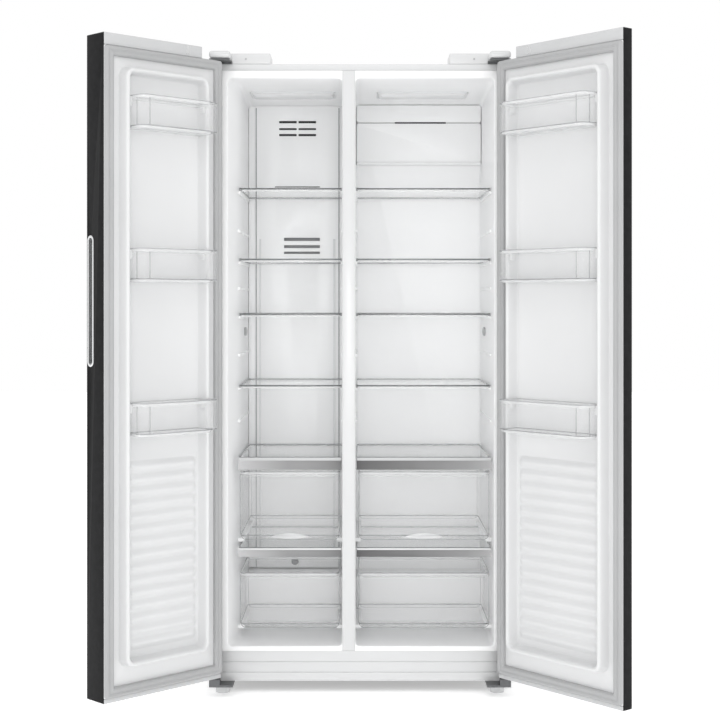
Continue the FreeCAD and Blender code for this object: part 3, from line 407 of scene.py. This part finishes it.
def cavity(x0, x1, x0_deep, back, flange_a, flange_b, lip_a, lip_b):
    rings = [(flange_a, flange_b, 117.4, 1733.6, 0.6, 6.0), (flange_a, flange_b, 117.4, 1733.6, 0.6, 0.7),
             (flange_a + 0.4, flange_b - 0.4, 117.8, 1733.2, 0.6, 0.3),
             (x0 - lip_a, x1 + lip_b, 128.0, 1715.0, 14, 0.3), (x0 - lip_a * 0.6, x1 + lip_b * 0.6, 129.0, 1714.0, 13.4, 0.6),
             (x0 - lip_a * 0.2, x1 + lip_b * 0.2, 130.3, 1712.7, 12.6, 1.7), (x0, x1, 131.0, 1712.0, 12.0, 3.5)]
    for y in (20.0, 50.0, 80.0, 110.0, 200.0, 320.0, back - 8):
        xl = x0 + (x0_deep - x0) * min(1.0, y / 110.0)
        rings.append((xl, x1, 131.0, ceiling(y), 12.0, y))
    for d, y in ((1.2, back - 4.0), (4.0, back - 1.2), (8.0, back)):
        rings.append((x0_deep + d, x1 - d, 131.0 + d, ceiling(back) - d, 10.0, y))
    return loft(rings, cap0=False)


SHELF_Z = [1413.0, 1212.6, 1057.0, 854.0]
SPARE_Z = [1302.0, 1138.0, 948.0, 760.0]


def ledges(xl, xr):
    out = []
    for z in SHELF_Z + [652.0, 398.0]:
        out.append(rbox(xl - 3, xl + 5.0, 96, 440, z - 15, z - 5.6, 2.4))
        out.append(rbox(xr - 5.0, xr + 3, 96, 440, z - 15, z - 5.6, 2.4))
    for z in SPARE_Z:
        for y0, y1 in ((96, 196), (216, 318), (338, 440)):
            out.append(rbox(xl - 3, xl + 4.0, y0, y1, z - 14, z - 5.6, 2.4))
            out.append(rbox(xr - 4.0, xr + 3, y0, y1, z - 14, z - 5.6, 2.4))
    for z, rear in ((412.0, 440.0), (165.0, 314.0)):
        out.append(rbox(xl - 3, xl + 16.0, 96, rear, z - 6, z + 5.0, 2.4))
        out.append(rbox(xr - 16.0, xr + 3, 96, rear, z - 6, z + 5.0, 2.4))
    return out


fz = cavity(-368.0, -50.0, -345.0, 509.0, -399.3, -48.6, 3.0, 1.2)
hump_fz = rbox(-346, -49, 322, 509, 128, 266, 8.0, 4)
add("freezer_liner_shell", merge(fz, hump_fz, *ledges(-345.0, -50.0)), M_LINER, "cabinet", replaces=("freezer_liner",), smooth=32)
fr = cavity(-12.5, 374.0, -12.5, 455.0, -13.9, 399.3, 1.2, 3.0)
hump_fr = rbox(-13.5, 375, 322, 454, 128, 266, 8.0, 4)
add("fridge_liner_shell", merge(fr, hump_fr, *ledges(-12.5, 374.0)), M_LINER, "cabinet", replaces=("fridge_liner",), smooth=32)

# freezer air-duct cover with its slots
slot_list = [(-250, -196, 1643, 1650), (-190, -136, 1643, 1650), (-250, -196, 1622, 1628), (-190, -136, 1622, 1628),
             (-250, -196, 1603, 1610), (-190, -136, 1603, 1610), (-235, -124, 1279, 1289), (-235, -124, 1257, 1266),
             (-235, -124, 1239, 1246), (-263, -124, 1444.5, 1447.5)]
xs = [-343.5, -320, -66, -51.5] + [a for s in slot_list for a in s[:2]]
zs = [269, 1696] + [a for s in slot_list for a in s[2:]]
duct = plate_with_holes([x for x in xs if -320 <= x <= -66], zs, slot_list, 451.0, 456.0)
wings = merge(rbox(-343.8, -319, 454.2, 459, 269, 1696, 1.0), rbox(-67, -51.2, 454.2, 459, 269, 1696, 1.0))
add("freezer_duct_face", duct, M_DUCT, "cabinet", replaces=("freezer_duct_cover",), bevel=0.7)
add("freezer_duct_wings", wings, M_LINER, "cabinet")
# the bands are painted shade of the cover's grooves; the thin gaps are painted shade along its raised edges
add("freezer_duct_painted_shade_bands", merge(rbox(-311.5, -305.5, 450.4, 452, 305, 1285, 0.5), rbox(-83.0, -76.0, 450.4, 452, 305, 1285, 0.5)),
    M_COVER_PAINTED_SHADE, "cabinet")
add("freezer_duct_gaps", merge(rbox(-322.2, -319.4, 450.7, 455.5, 271, 1690, 0.5), rbox(-66.6, -63.8, 450.7, 455.5, 271, 1690, 0.5)),
    M_LINE, "cabinet")
add("duct_shadow_pad", merge(rbox(-256, -130, 459.5, 462, 1596, 1657, 0.5), rbox(-268, -118, 459.5, 462, 1438, 1453, 0.5)), M_RECESS_PAINTED_SHADE, "cabinet")
add("duct_lower_shadow_pad", rbox(-241, -118, 459.5, 462, 1232, 1296, 0.5), M_LINE, "cabinet")
add("duct_fastener", merge(drum(-201, 445, 289, 11, 7, "y", 40, 2.0), drum(-201, 443.4, 289, 4.6, 4, "y", 32, 1.0)), M_LINE, "cabinet")

# fridge air-duct cover
low_blk = loft([(-11.0, 372.5, 1519, 1639.6, 6, 455), (-11.0, 372.5, 1519, 1639.6, 6, 431), (-9.7, 371.2, 1520.2, 1639.2, 6, 428.0),
                (-7.0, 368.5, 1523, 1638.0, 5, 426.6)], cap0=False)
up_blk = loft([(-11.0, 372.5, 1642.2, 1696, 6, 455), (-11.0, 372.5, 1642.2, 1696, 6, 431), (-9.7, 371.2, 1642.8, 1694.8, 6, 428.0),
               (-7.0, 368.5, 1644, 1692, 5, 426.6)], cap0=False)
add("fridge_duct_front", merge(low_blk, up_blk), M_DUCT, "cabinet", replaces=("fridge_duct_cover",), smooth=30)
add("fridge_duct_lip", rbox(-10.5, 372, 420, 455, 1512, 1519.5, 2.5), M_LINER, "cabinet")
add("fridge_duct_step_line", rbox(-9.5, 371, 433, 440, 1639, 1643, 0.4), M_CAP, "cabinet")
# the dark block in the slot is painted shade
add("fridge_duct_slot", rbox(107, 264, 427.2, 440, 1637.6, 1644.4, 0.6), M_RECESS_PAINTED_SHADE, "cabinet")

# ceiling lamps: a frosted lens in a shallow frame; the frame is darkened as painted shade
lamp = []
frames = []
for x0, x1 in ((-323, -72), (49, 318)):
    z = ceiling(262)
    lamp.append(loft([(x0 + 8, x1 - 8, 214, 311, 10, z - 1), (x0 + 8, x1 - 8, 214, 311, 10, z - 5), (x0 + 11, x1 - 11, 217, 308, 9, z - 6.5)], order="xy_z", cap0=False))
    frames.append(loft([(x0, x1, 205, 320, 14, z + 4), (x0, x1, 205, 320, 14, z - 2.4), (x0 + 1.2, x1 - 1.2, 206.2, 318.8, 13, z - 3.6),
                        (x0 + 6.5, x1 - 6.5, 212, 313, 10.5, z - 3.6), (x0 + 7.7, x1 - 7.7, 213.4, 311.6, 10, z - 2.2), (x0 + 7.9, x1 - 7.9, 213.6, 311.4, 10, z + 2)],
                       order="xy_z", wrap=True))
add("lamp_lenses", merge(*lamp), M_LENS, "cabinet", replaces=("ceiling_lamps",))
add("lamp_frames", merge(*frames), M_COVER_PAINTED_SHADE, "cabinet")

# hinge covers
cov, scr, slots_c = [], [], []
for s in (-1, 1):
    def sx(a, b):
        return (a, b) if s > 0 else (-b, -a)
    a, b = sx(357.5, 416.5)
    cov.append(rbox(a, b, -49.5, 6, 1761.8, 1782.0, 8.0, 5))
    hood = [(249.5, 1752.2), (357.0, 1752.2), (357.0, 1761.8), (416.5, 1761.8), (416.5, 1782.0), (249.5, 1782.0)]
    cov.append(prism([(s * u, v) for u, v in hood], 1.0, 96.0, "xz_y", 2.6, 4))
    a, b = sx(357.6, 416.0)
    cov.append(rbox(a, b, 12.0, 95.0, 1752.2, 1764.0, 1.0, 2))
    scr.append(drum(s * 300, 44, 1781.0, 6.0, 2.6, "z", 28, 0.8))
    scr.append(drum(s * 318, -0.6, 1766, 3.0, 2.4, "y", 20, 0.6))
add("top_hinge_covers", merge(*cov), M_STEEL, "cabinet", replaces=("hinge_covers",))
add("hinge_cover_screws", merge(*scr), M_SCREW, "cabinet")

# small wall fittings
ov = [drum(-345.6, 300, 1002, 13.0, 7.6, "x", 36, 2.4), drum(-338.4, 300, 1002, 6.0, 1.4, "x", 28, 0.5),
      drum(366.8, 300, 1002, 13.0, 7.6, "x", 36, 2.4), drum(365.8, 300, 1002, 6.0, 1.4, "x", 28, 0.5)]
add("wall_ovals", merge(*ov), M_GREY, "cabinet")

paint("door_hinges", M_HINGE)
paint("base_pan", M_ZINC)
paint("machine_cover", M_ZINC)
paint("compressor", M_COMP)
paint("evaporator", M_FINS)
paint("fan_motor", M_FAN)
paint("evaporator_fan", M_FAN)
paint("left_foot", M_FOOT)
paint("right_foot", M_FOOT)
paint("rear_rollers", M_FOOT)

# ------------------------------------------------------------------ doors
GASKET = [(d * 27.0 / 21.0, y) for d, y in [(0.0, -10.0), (0.0, -7.0), (0.9, -3.6), (2.4, -1.2), (4.6, -0.35), (7.0, -0.6), (8.6, -2.0), (10.0, -2.9), (11.6, -2.0),
          (13.4, -0.6), (16.0, -0.35), (18.4, -1.3), (20.0, -3.8), (21.0, -7.0), (21.0, -10.0)]]
RIDGE_PROFILE = [(-2.0, -10.0), (-0.6, -9.4), (0.4, -7.5), (1.6, 0.0), (2.6, 11.0), (3.4, 18.0), (4.6, 22.2), (6.6, 24.4), (9.0, 25.0), (11.4, 24.6),
                 (13.8, 23.0), (15.6, 19.6), (16.8, 13.0), (18.0, 3.0), (19.0, -5.0), (20.2, -8.8), (22.5, -10.0)]


def door(tag):
    xf = door_frame(tag)
    body = tag + "_door"
    left = tag == "left"
    h, f = HINGE[tag], FREE[tag]
    s = 1.0 if left else -1.0            # from the hinge edge towards the free edge

    def span(from_free, from_hinge):
        a, b = h + s * from_hinge, f - s * from_free
        return (a, b) if a < b else (b, a)

    # outer panel over the whole height; the right one slopes back along its free edge
    if left:
        outline = [(h, -11.2), (h, -88.0), (f, -88.0), (f, -11.2)]
    else:
        outline = [(h, -11.2), (f, -11.2), (f, -88.0 + 43.5), (f + 43.5, -88.0), (h, -88.0)]
    panel = add(tag + "_outer_shell", prism(outline, 53.0, 1785.0, "xy_z", 2.0, 4), M_BLACK, body, xf,
                replaces=(tag + "_door_panel", tag + "_door_foam"))
    ca, cb = (h - 5, h + 67.0) if left else (h - 67.0, h + 5)
    ia, ib = span(1.0, 1.0)

    def cap_outline(d, x_near=None):
        """The end cap's outline inside the sheet steel, drawn in by d."""
        hx = h + s * d if x_near is None else x_near
        if left:
            return [(hx, -10.0), (f - d, -10.0), (f - d, -88.0 + d), (hx, -88.0 + d)]
        return [(hx, -10.0), (hx, -88.0 + d), (f + 43.5 + 0.4 * d, -88.0 + d), (f + d, -88.0 + 43.5 + 0.4 * d), (f + d, -10.0)]
    cuts = [add("cut_corner", rbox(ca, cb, -93, -5, 1728.0, 1790, 0.0, 1), M_BLACK, body, xf),
            add("cut_top", prism(cap_outline(1.0), 1753.0, 1792.0, "xy_z"), M_BLACK, body, xf),
            add("cut_foot", prism(cap_outline(1.0), 45.0, 65.0, "xy_z"), M_BLACK, body, xf)]
    if left:
        cuts.append(add("cut_grip", loft([(-85.3, -56.7, 919.5, 1262.5, 14.2, -51.5), (-85.3, -56.7, 919.5, 1262.5, 14.2, -20.0)], order="yz_x", seg=10),
                        M_BLACK, body, xf))
    for k, cutter in enumerate(cuts):
        mod = panel.modifiers.new("cut%d" % k, "BOOLEAN")
        mod.operation = "DIFFERENCE"
        mod.object = cutter
        mod.solver = "EXACT"
    bpy.context.view_layer.update()
    new = bpy.data.meshes.new_from_object(panel.evaluated_get(bpy.context.evaluated_depsgraph_get()))
    panel.modifiers.clear()
    panel.data = new
    for cutter in cuts:
        bpy.data.objects.remove(cutter)

    # end caps inside the sheet steel, with the lowered corner at the hinge and a small slot
    lowx = (h, h + 66.6) if left else (h - 66.6, h)
    cap = merge(prism(cap_outline(1.3, h + s * 67.0), 1753.2, 1784.9, "xy_z", 1.6, 3), rbox(lowx[0], lowx[1], -88.0, -11.4, 1728.2, 1754.0, 1.6))
    add(tag + "_top_end_cap", cap, M_CAP, body, xf, replaces=(tag + "_door_top_cap",))
    na, nb = (h + s * 111.0, h + s * 123.0)
    na, nb = min(na, nb), max(na, nb)
    add(tag + "_cap_slot", merge(rbox(na, na + 1.6, -10.6, -9.0, 1757, 1782, 0.4), rbox(nb - 1.6, nb, -10.6, -9.0, 1757, 1782, 0.4),
                                 rbox(na + 1.6, nb - 1.6, -10.6, -9.4, 1757, 1761, 0.4)), M_RIM, body, xf)
    add(tag + "_bottom_end_cap", prism(cap_outline(1.3), 53.1, 64.8, "xy_z", 1.6, 3), M_CAP, body, xf, replaces=(tag + "_door_bottom_cap",))

    # liner: flat border, rounded ridge frame and recess floor
    a, b = span(1, 1)
    ra, rb = RIDGE[tag]
    edge = (a, b, 65.4, 1752.6, 2.5)
    ridge = (ra, rb, 140.0, 1700.0, 26.0)
    rings = [inset(edge, 0.0, -11.6), inset(edge, 0.0, -10.6), inset(edge, 0.5, -10.05)]
    for dd, y in RIDGE_PROFILE:
        rings.append(inset(ridge, dd, y, max(6.0, 27.0 - dd * 0.8)))
    add(tag + "_liner_shell", loft(rings, cap0=False, seg=10), M_DLINER, body, xf, replaces=(tag + "_door_liner",), smooth=50)

    # corrugated lower panel in the recess
    x0, x1 = ra + 27.0, rb - 27.0
    z0, z1, pitch, amp = 178.0, 673.0, 33.0, 8.0
    nx, per = 46, 12
    nz = int((z1 - z0) / pitch * per)
    pts, faces = [], []
    for j in range(nz + 1):
        z = z0 + (z1 - z0) * j / nz
        phase = (z - z0) / pitch
        wave = 0.5 - 0.5 * math.cos(2 * math.pi * phase)
        wave = wave ** 0.8
        for i in range(nx + 1):
            t = i / nx
            x = x0 + (x1 - x0) * t
            e = min(1.0, min(x - x0, x1 - x) / 14.0)
            fade = e * e * (3 - 2 * e)
            pts.append((x, -10.25 + 0.35 * fade + amp * wave * fade, z))
    for j in range(nz):
        for i in range(nx):
            k = j * (nx + 1) + i
            faces.append((k, k + 1, k + nx + 2, k + nx + 1))
    add(tag + "_liner_corrugation", (pts, faces), M_DLINER, body, xf, smooth=60)

    # gasket ring
    g = (a, b, 66.0, 1752.0, 8.0)
    ring_pts, ring_faces = loft([inset(g, dd, y, max(2.0, 8.0 - dd * 0.25)) for dd, y in GASKET], wrap=True)

    def eased(p):
        over = (abs(p[0]) - 405.0) if p[0] * s < 0 else -1.0
        return (p[0], min(p[1], -0.35 - over * 0.1909), p[2]) if over > 0 else p
    add(tag + "_gasket_ring", ([eased(p) for p in ring_pts], ring_faces), M_GASKET, body, xf,
        replaces=(tag + "_door_gasket",), smooth=60)

    # bosses that hold the bins
    boss = []
    for z in (1538.0, 1141.0, 740.0):
        for x, dirn in ((ra + 20, 1), (rb - 20, -1)):
            x0b, x1b = (x - 4, x + 3.0) if dirn > 0 else (x - 3.0, x + 4)
            boss.append(rbox(x0b, x1b, 2, 20, z + 60, z + 84, 2.2))
    add(tag + "_bin_bosses", merge(*boss), M_DLINER, body, xf)


door("left")
door("right")

# grip trim: bright rim with a grey groove, whose grey floor is painted shade in the recess
left_xf = door_frame("left")
gb = (-85.0, -57.0, 920.0, 1262.0, 13.8)
rim = loft([inset(gb, 0.0, -29.6, 13.9), inset(gb, 0.0, -29.0, 13.9), inset(gb, 0.6, -28.55, 13.4), inset(gb, 5.2, -28.55, 8.8), inset(gb, 6.0, -29.0, 8.0),
            inset(gb, 6.2, -48.0, 7.8), inset(gb, 4.0, -50.8, 10.0), inset(gb, 0.0, -50.8, 13.9)], order="yz_x", wrap=True, seg=12)
add("left_grip_rim", rim, M_SILVER, "left_door", left_xf, replaces=("left_door_grip",))
add("left_grip_floor", loft([inset(gb, 5.0, -50.6, 9.0), inset(gb, 5.0, -49.6, 9.0), inset(gb, 5.8, -49.2, 8.2)], order="yz_x", seg=12), M_GRIP_PAINTED_SHADE,
    "left_door", left_xf)

# ------------------------------------------------------------------ door bins
for tag in ("left", "right"):
    xf = door_frame(tag)
    ra, rb = RIDGE[tag]
    for level, z in (("top", 1538.0), ("middle", 1141.0), ("bottom", 740.0)):
        x0, x1 = ra + 21.0, rb - 21.0
        y0, y1 = -9.0, 66.0
        near = (5.0, 5.0, 24.0, 24.0)

        def q(d, w, rads=None):
            rads = rads or tuple(max(1.5, r - d) for r in near)
            return (x0 + d, x1 - d, y0 + d, y1 - d, rads, w)
        shell = loft([q(7.0, z + 0.0), q(3.0, z + 0.6), q(1.0, z + 2.4), q(0.2, z + 6.0), q(0.0, z + 12.0), q(0.0, z + 79.0),
                      q(2.6, z + 79.0), q(2.7, z + 12.0), q(3.0, z + 6.5), q(4.5, z + 3.6), q(8.0, z + 2.6)], order="xy_z", seg=8)
        o = add("%s_bin_%s_tub" % (tag, level), shell, M_CLEAR, "%s_bin_%s" % (tag, level), xf, replaces=("%s_bin_%s" % (tag, level),))
        rimb = loft([q(-0.2, z + 78.6), q(-0.9, z + 79.4), q(-0.9, z + 86.0), q(-0.2, z + 87.0), q(2.6, z + 87.0), q(3.2, z + 86.2), q(3.2, z + 79.4), q(2.6, z + 78.6)],
                    order="xy_z", wrap=True, seg=8)
        add("%s_bin_%s_rim" % (tag, level), rimb, M_RIM, "%s_bin_%s" % (tag, level), xf)
        # the bin's end wraps over the ridge on the hinge side
        if tag == "left":
            tab = (-351.0, -331.0, 27.0, 58.0, (9.0, 3.0, 3.0, 9.0))
        else:
            tab = (339.0, 357.0, 27.0, 50.0, (3.0, 8.0, 8.0, 3.0))

        def tq(d, w):
            return (tab[0] + d, tab[1] - d, tab[2] + d, tab[3] - d, tuple(max(1.0, r - d) for r in tab[4]), w)
        o = add("%s_bin_%s_end" % (tag, level), loft([tq(6, z + 2), tq(2, z + 2.6), tq(0, z + 6), tq(0, z + 86.4), tq(0.8, z + 87), tq(1.7, z + 86.8), tq(2.4, z + 85),
                tq(2.4, z + 7), tq(4, z + 5), tq(6.5, z + 4.4)], order="xy_z"), M_CLEAR, "%s_bin_%s" % (tag, level), xf)
        corner_shade_lines = []
        add("%s_bin_%s_floor" % (tag, level), loft([q(8.0, z + 0.2), q(3.4, z + 0.9), q(2.9, z + 2.2), q(4.0, z + 3.0)], order="xy_z", seg=8), M_RIM,
            "%s_bin_%s" % (tag, level), xf)
        tr = loft([tq(-0.3, z + 84.4), tq(-0.5, z + 85.0), tq(-0.5, z + 87.0), tq(0.6, z + 87.0), tq(0.6, z + 84.8)], order="xy_z", wrap=True)
        bl = loft([tq(0.6, z + 5.6), tq(-0.3, z + 7.2), tq(-0.3, z + 8.4), tq(0.7, z + 8.2)], order="xy_z", wrap=True)
        add("%s_bin_%s_end_rims" % (tag, level), merge(tr, bl), M_EDGE_PAINTED_SHADE, "%s_bin_%s" % (tag, level), xf)
        thin = loft([q(-1.0, z + 85.2), q(-1.1, z + 86.4), q(-0.3, z + 87.1), q(0.8, z + 87.1), q(0.8, z + 85.6)], order="xy_z", wrap=True, seg=8)
        thin2 = loft([q(0.3, z + 6.2), q(-0.4, z + 7.4), q(-0.4, z + 8.6), q(0.6, z + 8.4)], order="xy_z", wrap=True, seg=8)
        add("%s_bin_%s_lines" % (tag, level), merge(thin, thin2), M_EDGE_PAINTED_SHADE, "%s_bin_%s" % (tag, level), xf)
        # thin dark bars at the corners' ends: painted shade lines where light bending in the clear plastic shows lines
        free_x, far_x = (x1, x0) if tag == "left" else (x0, x1)
        step = -1.0 if tag == "left" else 1.0
        for rx, ry in ((free_x + step * 0.2, y1 - 24.0), (free_x + step * 24.0, y1 - 0.2), (tab[0] + 0.6 if tag == "left" else tab[1] - 0.6, tab[3] - 9.0)):
            corner_shade_lines.append(rbox(rx - 0.8, rx + 0.8, ry - 0.8, ry + 0.8, z + 8, z + 79, 0.5, 2))
        add("%s_bin_%s_ribs" % (tag, level), merge(*corner_shade_lines), M_EDGE_PAINTED_SHADE, "%s_bin_%s" % (tag, level), xf)
        foot_ring = loft([q(6.5, z - 0.2), q(2.0, z + 0.4), q(0.0, z + 3.4), q(-0.3, z + 5.6), q(0.6, z + 6.4), q(3.2, z + 4.0), q(6.5, z + 2.0)],
                         order="xy_z", wrap=True, seg=8)
        add("%s_bin_%s_base" % (tag, level), foot_ring, M_RIM, "%s_bin_%s" % (tag, level), xf)

# ------------------------------------------------------------------ shelves
for side, xa, xb in (("freezer", -342.0, -52.0), ("fridge", -9.5, 369.0)):
    for i, z in enumerate(SHELF_Z, start=1):
        body = "%s_shelf_%d" % (side, i)
        pane = loft([(xa + 0.6, xb - 0.6, 78.2, 447.4, 6.0, z - 5.0), (xa, xb, 77.6, 448, 6.5, z - 4.4), (xa, xb, 77.6, 448, 6.5, z - 0.6),
                     (xa + 0.6, xb - 0.6, 78.2, 447.4, 6.0, z)], order="xy_z")
        add(body + "_pane", pane, M_GLASS, body, replaces=(body,))
        add(body + "_edge", rbox(xa + 1, xb - 1, 76.0, 78.0, z - 3.0, z - 0.4, 0.6), M_EDGE, body)
        ring = loft([(xa - 0.1, xb + 0.1, 77.5, 448.0, 6.6, z - 4.6), (xa - 0.1, xb + 0.1, 77.5, 448.0, 6.6, z - 0.4), (xa + 1.6, xb - 1.6, 79.2, 446.4, 5.2, z + 0.05),
                     (xa + 1.6, xb - 1.6, 79.2, 446.4, 5.2, z - 5.05)], order="xy_z", wrap=True)
        add(body + "_rim", ring, M_EDGE_PAINTED_SHADE, body)
        clips = merge(rbox(xa - 1.6, xa + 5.0, 77.0, 86.0, z - 7.6, z + 0.6, 1.0), rbox(xb - 5.0, xb + 1.6, 77.0, 86.0, z - 7.6, z + 0.6, 1.0))
        add(body + "_clips", clips, M_LINE, body)
        add(body + "_lip", rbox(xa + 6, xb - 6, 78.5, 84, z - 9.5, z - 5.1, 1.2), M_RIM, body)
    for word, z, skirt in (("upper", 652.0, 34.0), ("lower", 398.0, 25.0)):
        body = "%s_trim_shelf_%s" % (side, word)
        node = "%s_shelf_trim_%s" % (side, word)
        pane = loft([(xa + 0.6, xb - 0.6, 48.6, 447.4, 6.0, z - 5.0), (xa, xb, 48.0, 448, 6.5, z - 4.4), (xa, xb, 48.0, 448, 6.5, z - 0.6),
                     (xa + 0.6, xb - 0.6, 48.6, 447.4, 6.0, z)], order="xy_z")
        add(body + "_pane", pane, M_GLASS, body, replaces=(body,))
        ring = loft([(xa - 0.1, xb + 0.1, 47.9, 448.0, 6.6, z - 4.6), (xa - 0.1, xb + 0.1, 47.9, 448.0, 6.6, z - 0.4), (xa + 1.6, xb - 1.6, 49.6, 446.4, 5.2, z + 0.05),
                     (xa + 1.6, xb - 1.6, 49.6, 446.4, 5.2, z - 5.05)], order="xy_z", wrap=True)
        add(body + "_rim", ring, M_EDGE_PAINTED_SHADE, body)
        # trim: a bevel along the top, lighter as painted highlight, over a deeper face that carries the painted
        # reflection
        prof = [(36.0, z - skirt + 1.0), (36.8, z - skirt), (41.0, z - skirt), (41.0, z - 6.0), (48.0, z - 6.0), (48.0, z - 0.2), (42.0, z), (38.5, z - 1.4), (36.0, z - 9.0)]
        pts = [(xa, y, zz) for y, zz in prof] + [(xb, y, zz) for y, zz in prof]
        n = len(prof)
        faces = [(i, (i + 1) % n, n + (i + 1) % n, n + i) for i in range(n)] + [tuple(reversed(range(n))), tuple(range(n, 2 * n))]
        add(node + "_face", (pts, faces), M_TRIM, body, replaces=(node,), smooth=25, bevel=0.4)
        bd = 8.0 if word == "upper" else 5.4
        bev = [(35.7, z - bd), (36.2, z - bd), (38.9, z - 1.9), (42.1, z - 0.3), (42.1, z + 0.3), (38.2, z - 1.0)]
        pts = [(xa + 1, y, zz) for y, zz in bev] + [(xb - 1, y, zz) for y, zz in bev]
        n = len(bev)
        faces = [(i, (i + 1) % n, n + (i + 1) % n, n + i) for i in range(n)] + [tuple(reversed(range(n))), tuple(range(n, 2 * n))]
        add(node + "_glass_line", rbox(xa + 1, xb - 1, 42.4, 45.0, z - 1.0, z + 1.3, 0.4, 2), M_EDGE, body)
        add(node + "_bevel", (pts, faces), M_TRIM_HIGHLIGHT, body, smooth=25)

# ------------------------------------------------------------------ drawers
for side, xa, xb in (("freezer", -337.0, -57.0), ("fridge", -4.5, 364.0)):
    for word, z0, z1, rear in (("upper", 420.0, 612.0, 440.0), ("lower", 172.0, 327.0, 314.0)):
        body = "%s_drawer_%s" % (side, word)
        y0, y1 = 44.0, rear

        def q(d, w, r=12.0, dz=0.0):
            rads = tuple(max(1.5, k - d) for k in (14.0, 14.0, 10.0, 10.0))
            return (xa + d, xb - d, y0 + d, y1 - d, rads, w)
        tub = loft([q(16.0, z0), q(9.0, z0 + 0.8), q(4.0, z0 + 3.6), q(1.2, z0 + 8.5), q(0.2, z0 + 15.0), q(0.0, z0 + 22.0), q(0.0, z1 - 8),
                    q(2.6, z1 - 8), q(2.6, z0 + 22.0), q(2.9, z0 + 15.5), q(4.2, z0 + 9.6), q(7.2, z0 + 5.2), q(11.0, z0 + 3.2), q(17.0, z0 + 2.5)],
                   order="xy_z", seg=8)
        add(body + "_tub", tub, M_CLEAR, body, replaces=(body,))
        rim = loft([q(0.0, z1 - 8.4), q(-1.0, z1 - 7.4), q(-1.0, z1 - 1.0), q(0.0, z1), q(2.6, z1), q(3.6, z1 - 1.0), q(3.6, z1 - 7.4), q(2.6, z1 - 8.4)],
                   order="xy_z", wrap=True, seg=8)
        add(body + "_rim", rim, M_RIM, body)
        line = loft([q(0.6, z0 + 9.6), q(-0.1, z0 + 11.4), q(-0.3, z0 + 13.0), q(0.3, z0 + 13.6), q(1.2, z0 + 12.6), q(1.4, z0 + 10.0)], order="xy_z", wrap=True, seg=8)
        add(body + "_base_line", line, M_EDGE_PAINTED_SHADE, body)
        top_line = loft([q(-1.2, z1 - 1.6), q(-1.2, z1 + 0.0), q(-0.4, z1 + 0.3), q(0.6, z1 + 0.2), q(0.4, z1 - 1.4)], order="xy_z", wrap=True, seg=8)
        add(body + "_rim_line", top_line, M_EDGE_PAINTED_SHADE, body)
        # front details: a pull lip across the front and, on the upper drawers, a lens-shaped plate of the whiter rim
        # plastic, partly a finger grip and partly a painted highlight
        cx = (xa + xb) / 2
        f0 = (xa + 0.2, xb - 0.2, z0 + 0.3, z1 - 1.0, (17, 17, 3, 3))

        def fq(d, w, base=None):
            b = base or f0
            return (b[0] + d, b[1] - d, b[2] + d, b[3] - d, tuple(max(1.0, r - d) for r in b[4]), w)
        frame_f = loft([fq(0.0, y0 - 0.9), fq(0.0, y0 + 0.7), fq(1.7, y0 + 0.7), fq(1.7, y0 - 0.9)], wrap=True, seg=10)
        add(body + "_front_outline", frame_f, M_EDGE_PAINTED_SHADE, body)
        frame_b = loft([fq(2.0, y1 - 3.2), fq(2.0, y1 - 1.6), fq(3.4, y1 - 1.6), fq(3.4, y1 - 3.2)], wrap=True, seg=10)
        add(body + "_rear_outline", frame_b, M_RIM, body)
        add(body + "_lip", rbox(xa + 14, xb - 14, 40.4, 45.0, z1 - 13, z1 - 10.6, 1.0), M_RIM, body)
        lens, n = [], 28
        for k in range(n + 1):
            t = -1 + 2.0 * k / n
            lens.append((cx + 58 * t, z0 + 8 + 11 * (1 - t * t)))
        for k in range(n - 1, 0, -1):
            t = -1 + 2.0 * k / n
            lens.append((cx + 58 * t, z0 + 8 - 5 * (1 - t * t)))
        # the whiter lens plate is partly a painted highlight
        if word == "upper":
            add(body + "_finger_grip_highlight", prism(lens, 40.5, 44.5, "xz_y", 0.8, 2), M_RIM, body)

# ------------------------------------------------------------------ studio
floor_me = bpy.data.meshes.new("studio_floor")
floor_me.from_pydata([(-14, -10, 0), (14, -10, 0), (14, 14, 0), (-14, 14, 0)], [], [(0, 1, 2, 3)])
floor = bpy.data.objects.new("studio_floor", floor_me)
bpy.context.scene.collection.objects.link(floor)
M_FLOOR = mk("pale_floor", (0.97, 0.97, 0.97), 0.8, var=0.004, bump=0.02, bump_scale=40)
_fb = M_FLOOR.node_tree.nodes["Principled BSDF"]
_fb.inputs["Emission Color"].default_value = (1.0, 1.0, 1.0, 1.0)
_fb.inputs["Emission Strength"].default_value = 0.42
floor_me.materials.append(M_FLOOR)

world = bpy.data.worlds.new("studio")
bpy.context.scene.world = world
world.use_nodes = True
bg = world.node_tree.nodes["Background"]
bg.inputs["Color"].default_value = (1.0, 1.0, 1.0, 1.0)
bg.inputs["Strength"].default_value = 1.0


def area(name, loc, target, size, size_y, power, color=(1, 1, 1)):
    d = bpy.data.lights.new(name, "AREA")
    d.shape = "RECTANGLE"
    d.size, d.size_y = size, size_y
    d.energy = power
    d.color = color
    o = bpy.data.objects.new(name, d)
    bpy.context.scene.collection.objects.link(o)
    o.location = loc
    o.rotation_euler = (Vector(target) - Vector(loc)).to_track_quat("-Z", "Y").to_euler()
    return o


area("key_top", (-0.2, -3.2, 4.2), (0, -0.1, 0.9), 2.2, 1.4, 15)
area("low_front", (0.2, -4.6, 0.6), (0, 0.3, 0.7), 1.8, 0.6, 10)
inner = area("inner_fill", (0.0, -4.7, 1.25), (0, 0.4, 0.95), 0.9, 0.9, 0.68)
inner.data.spread = math.radians(34)

sc = bpy.context.scene
sc.view_settings.view_transform = "Standard"
sc.view_settings.look = "None"
sc.view_settings.exposure = 0.0
sc.view_settings.gamma = 1.0
sc.cycles.transparent_max_bounces = 40
sc.cycles.max_bounces = 10
sc.cycles.diffuse_bounces = 6
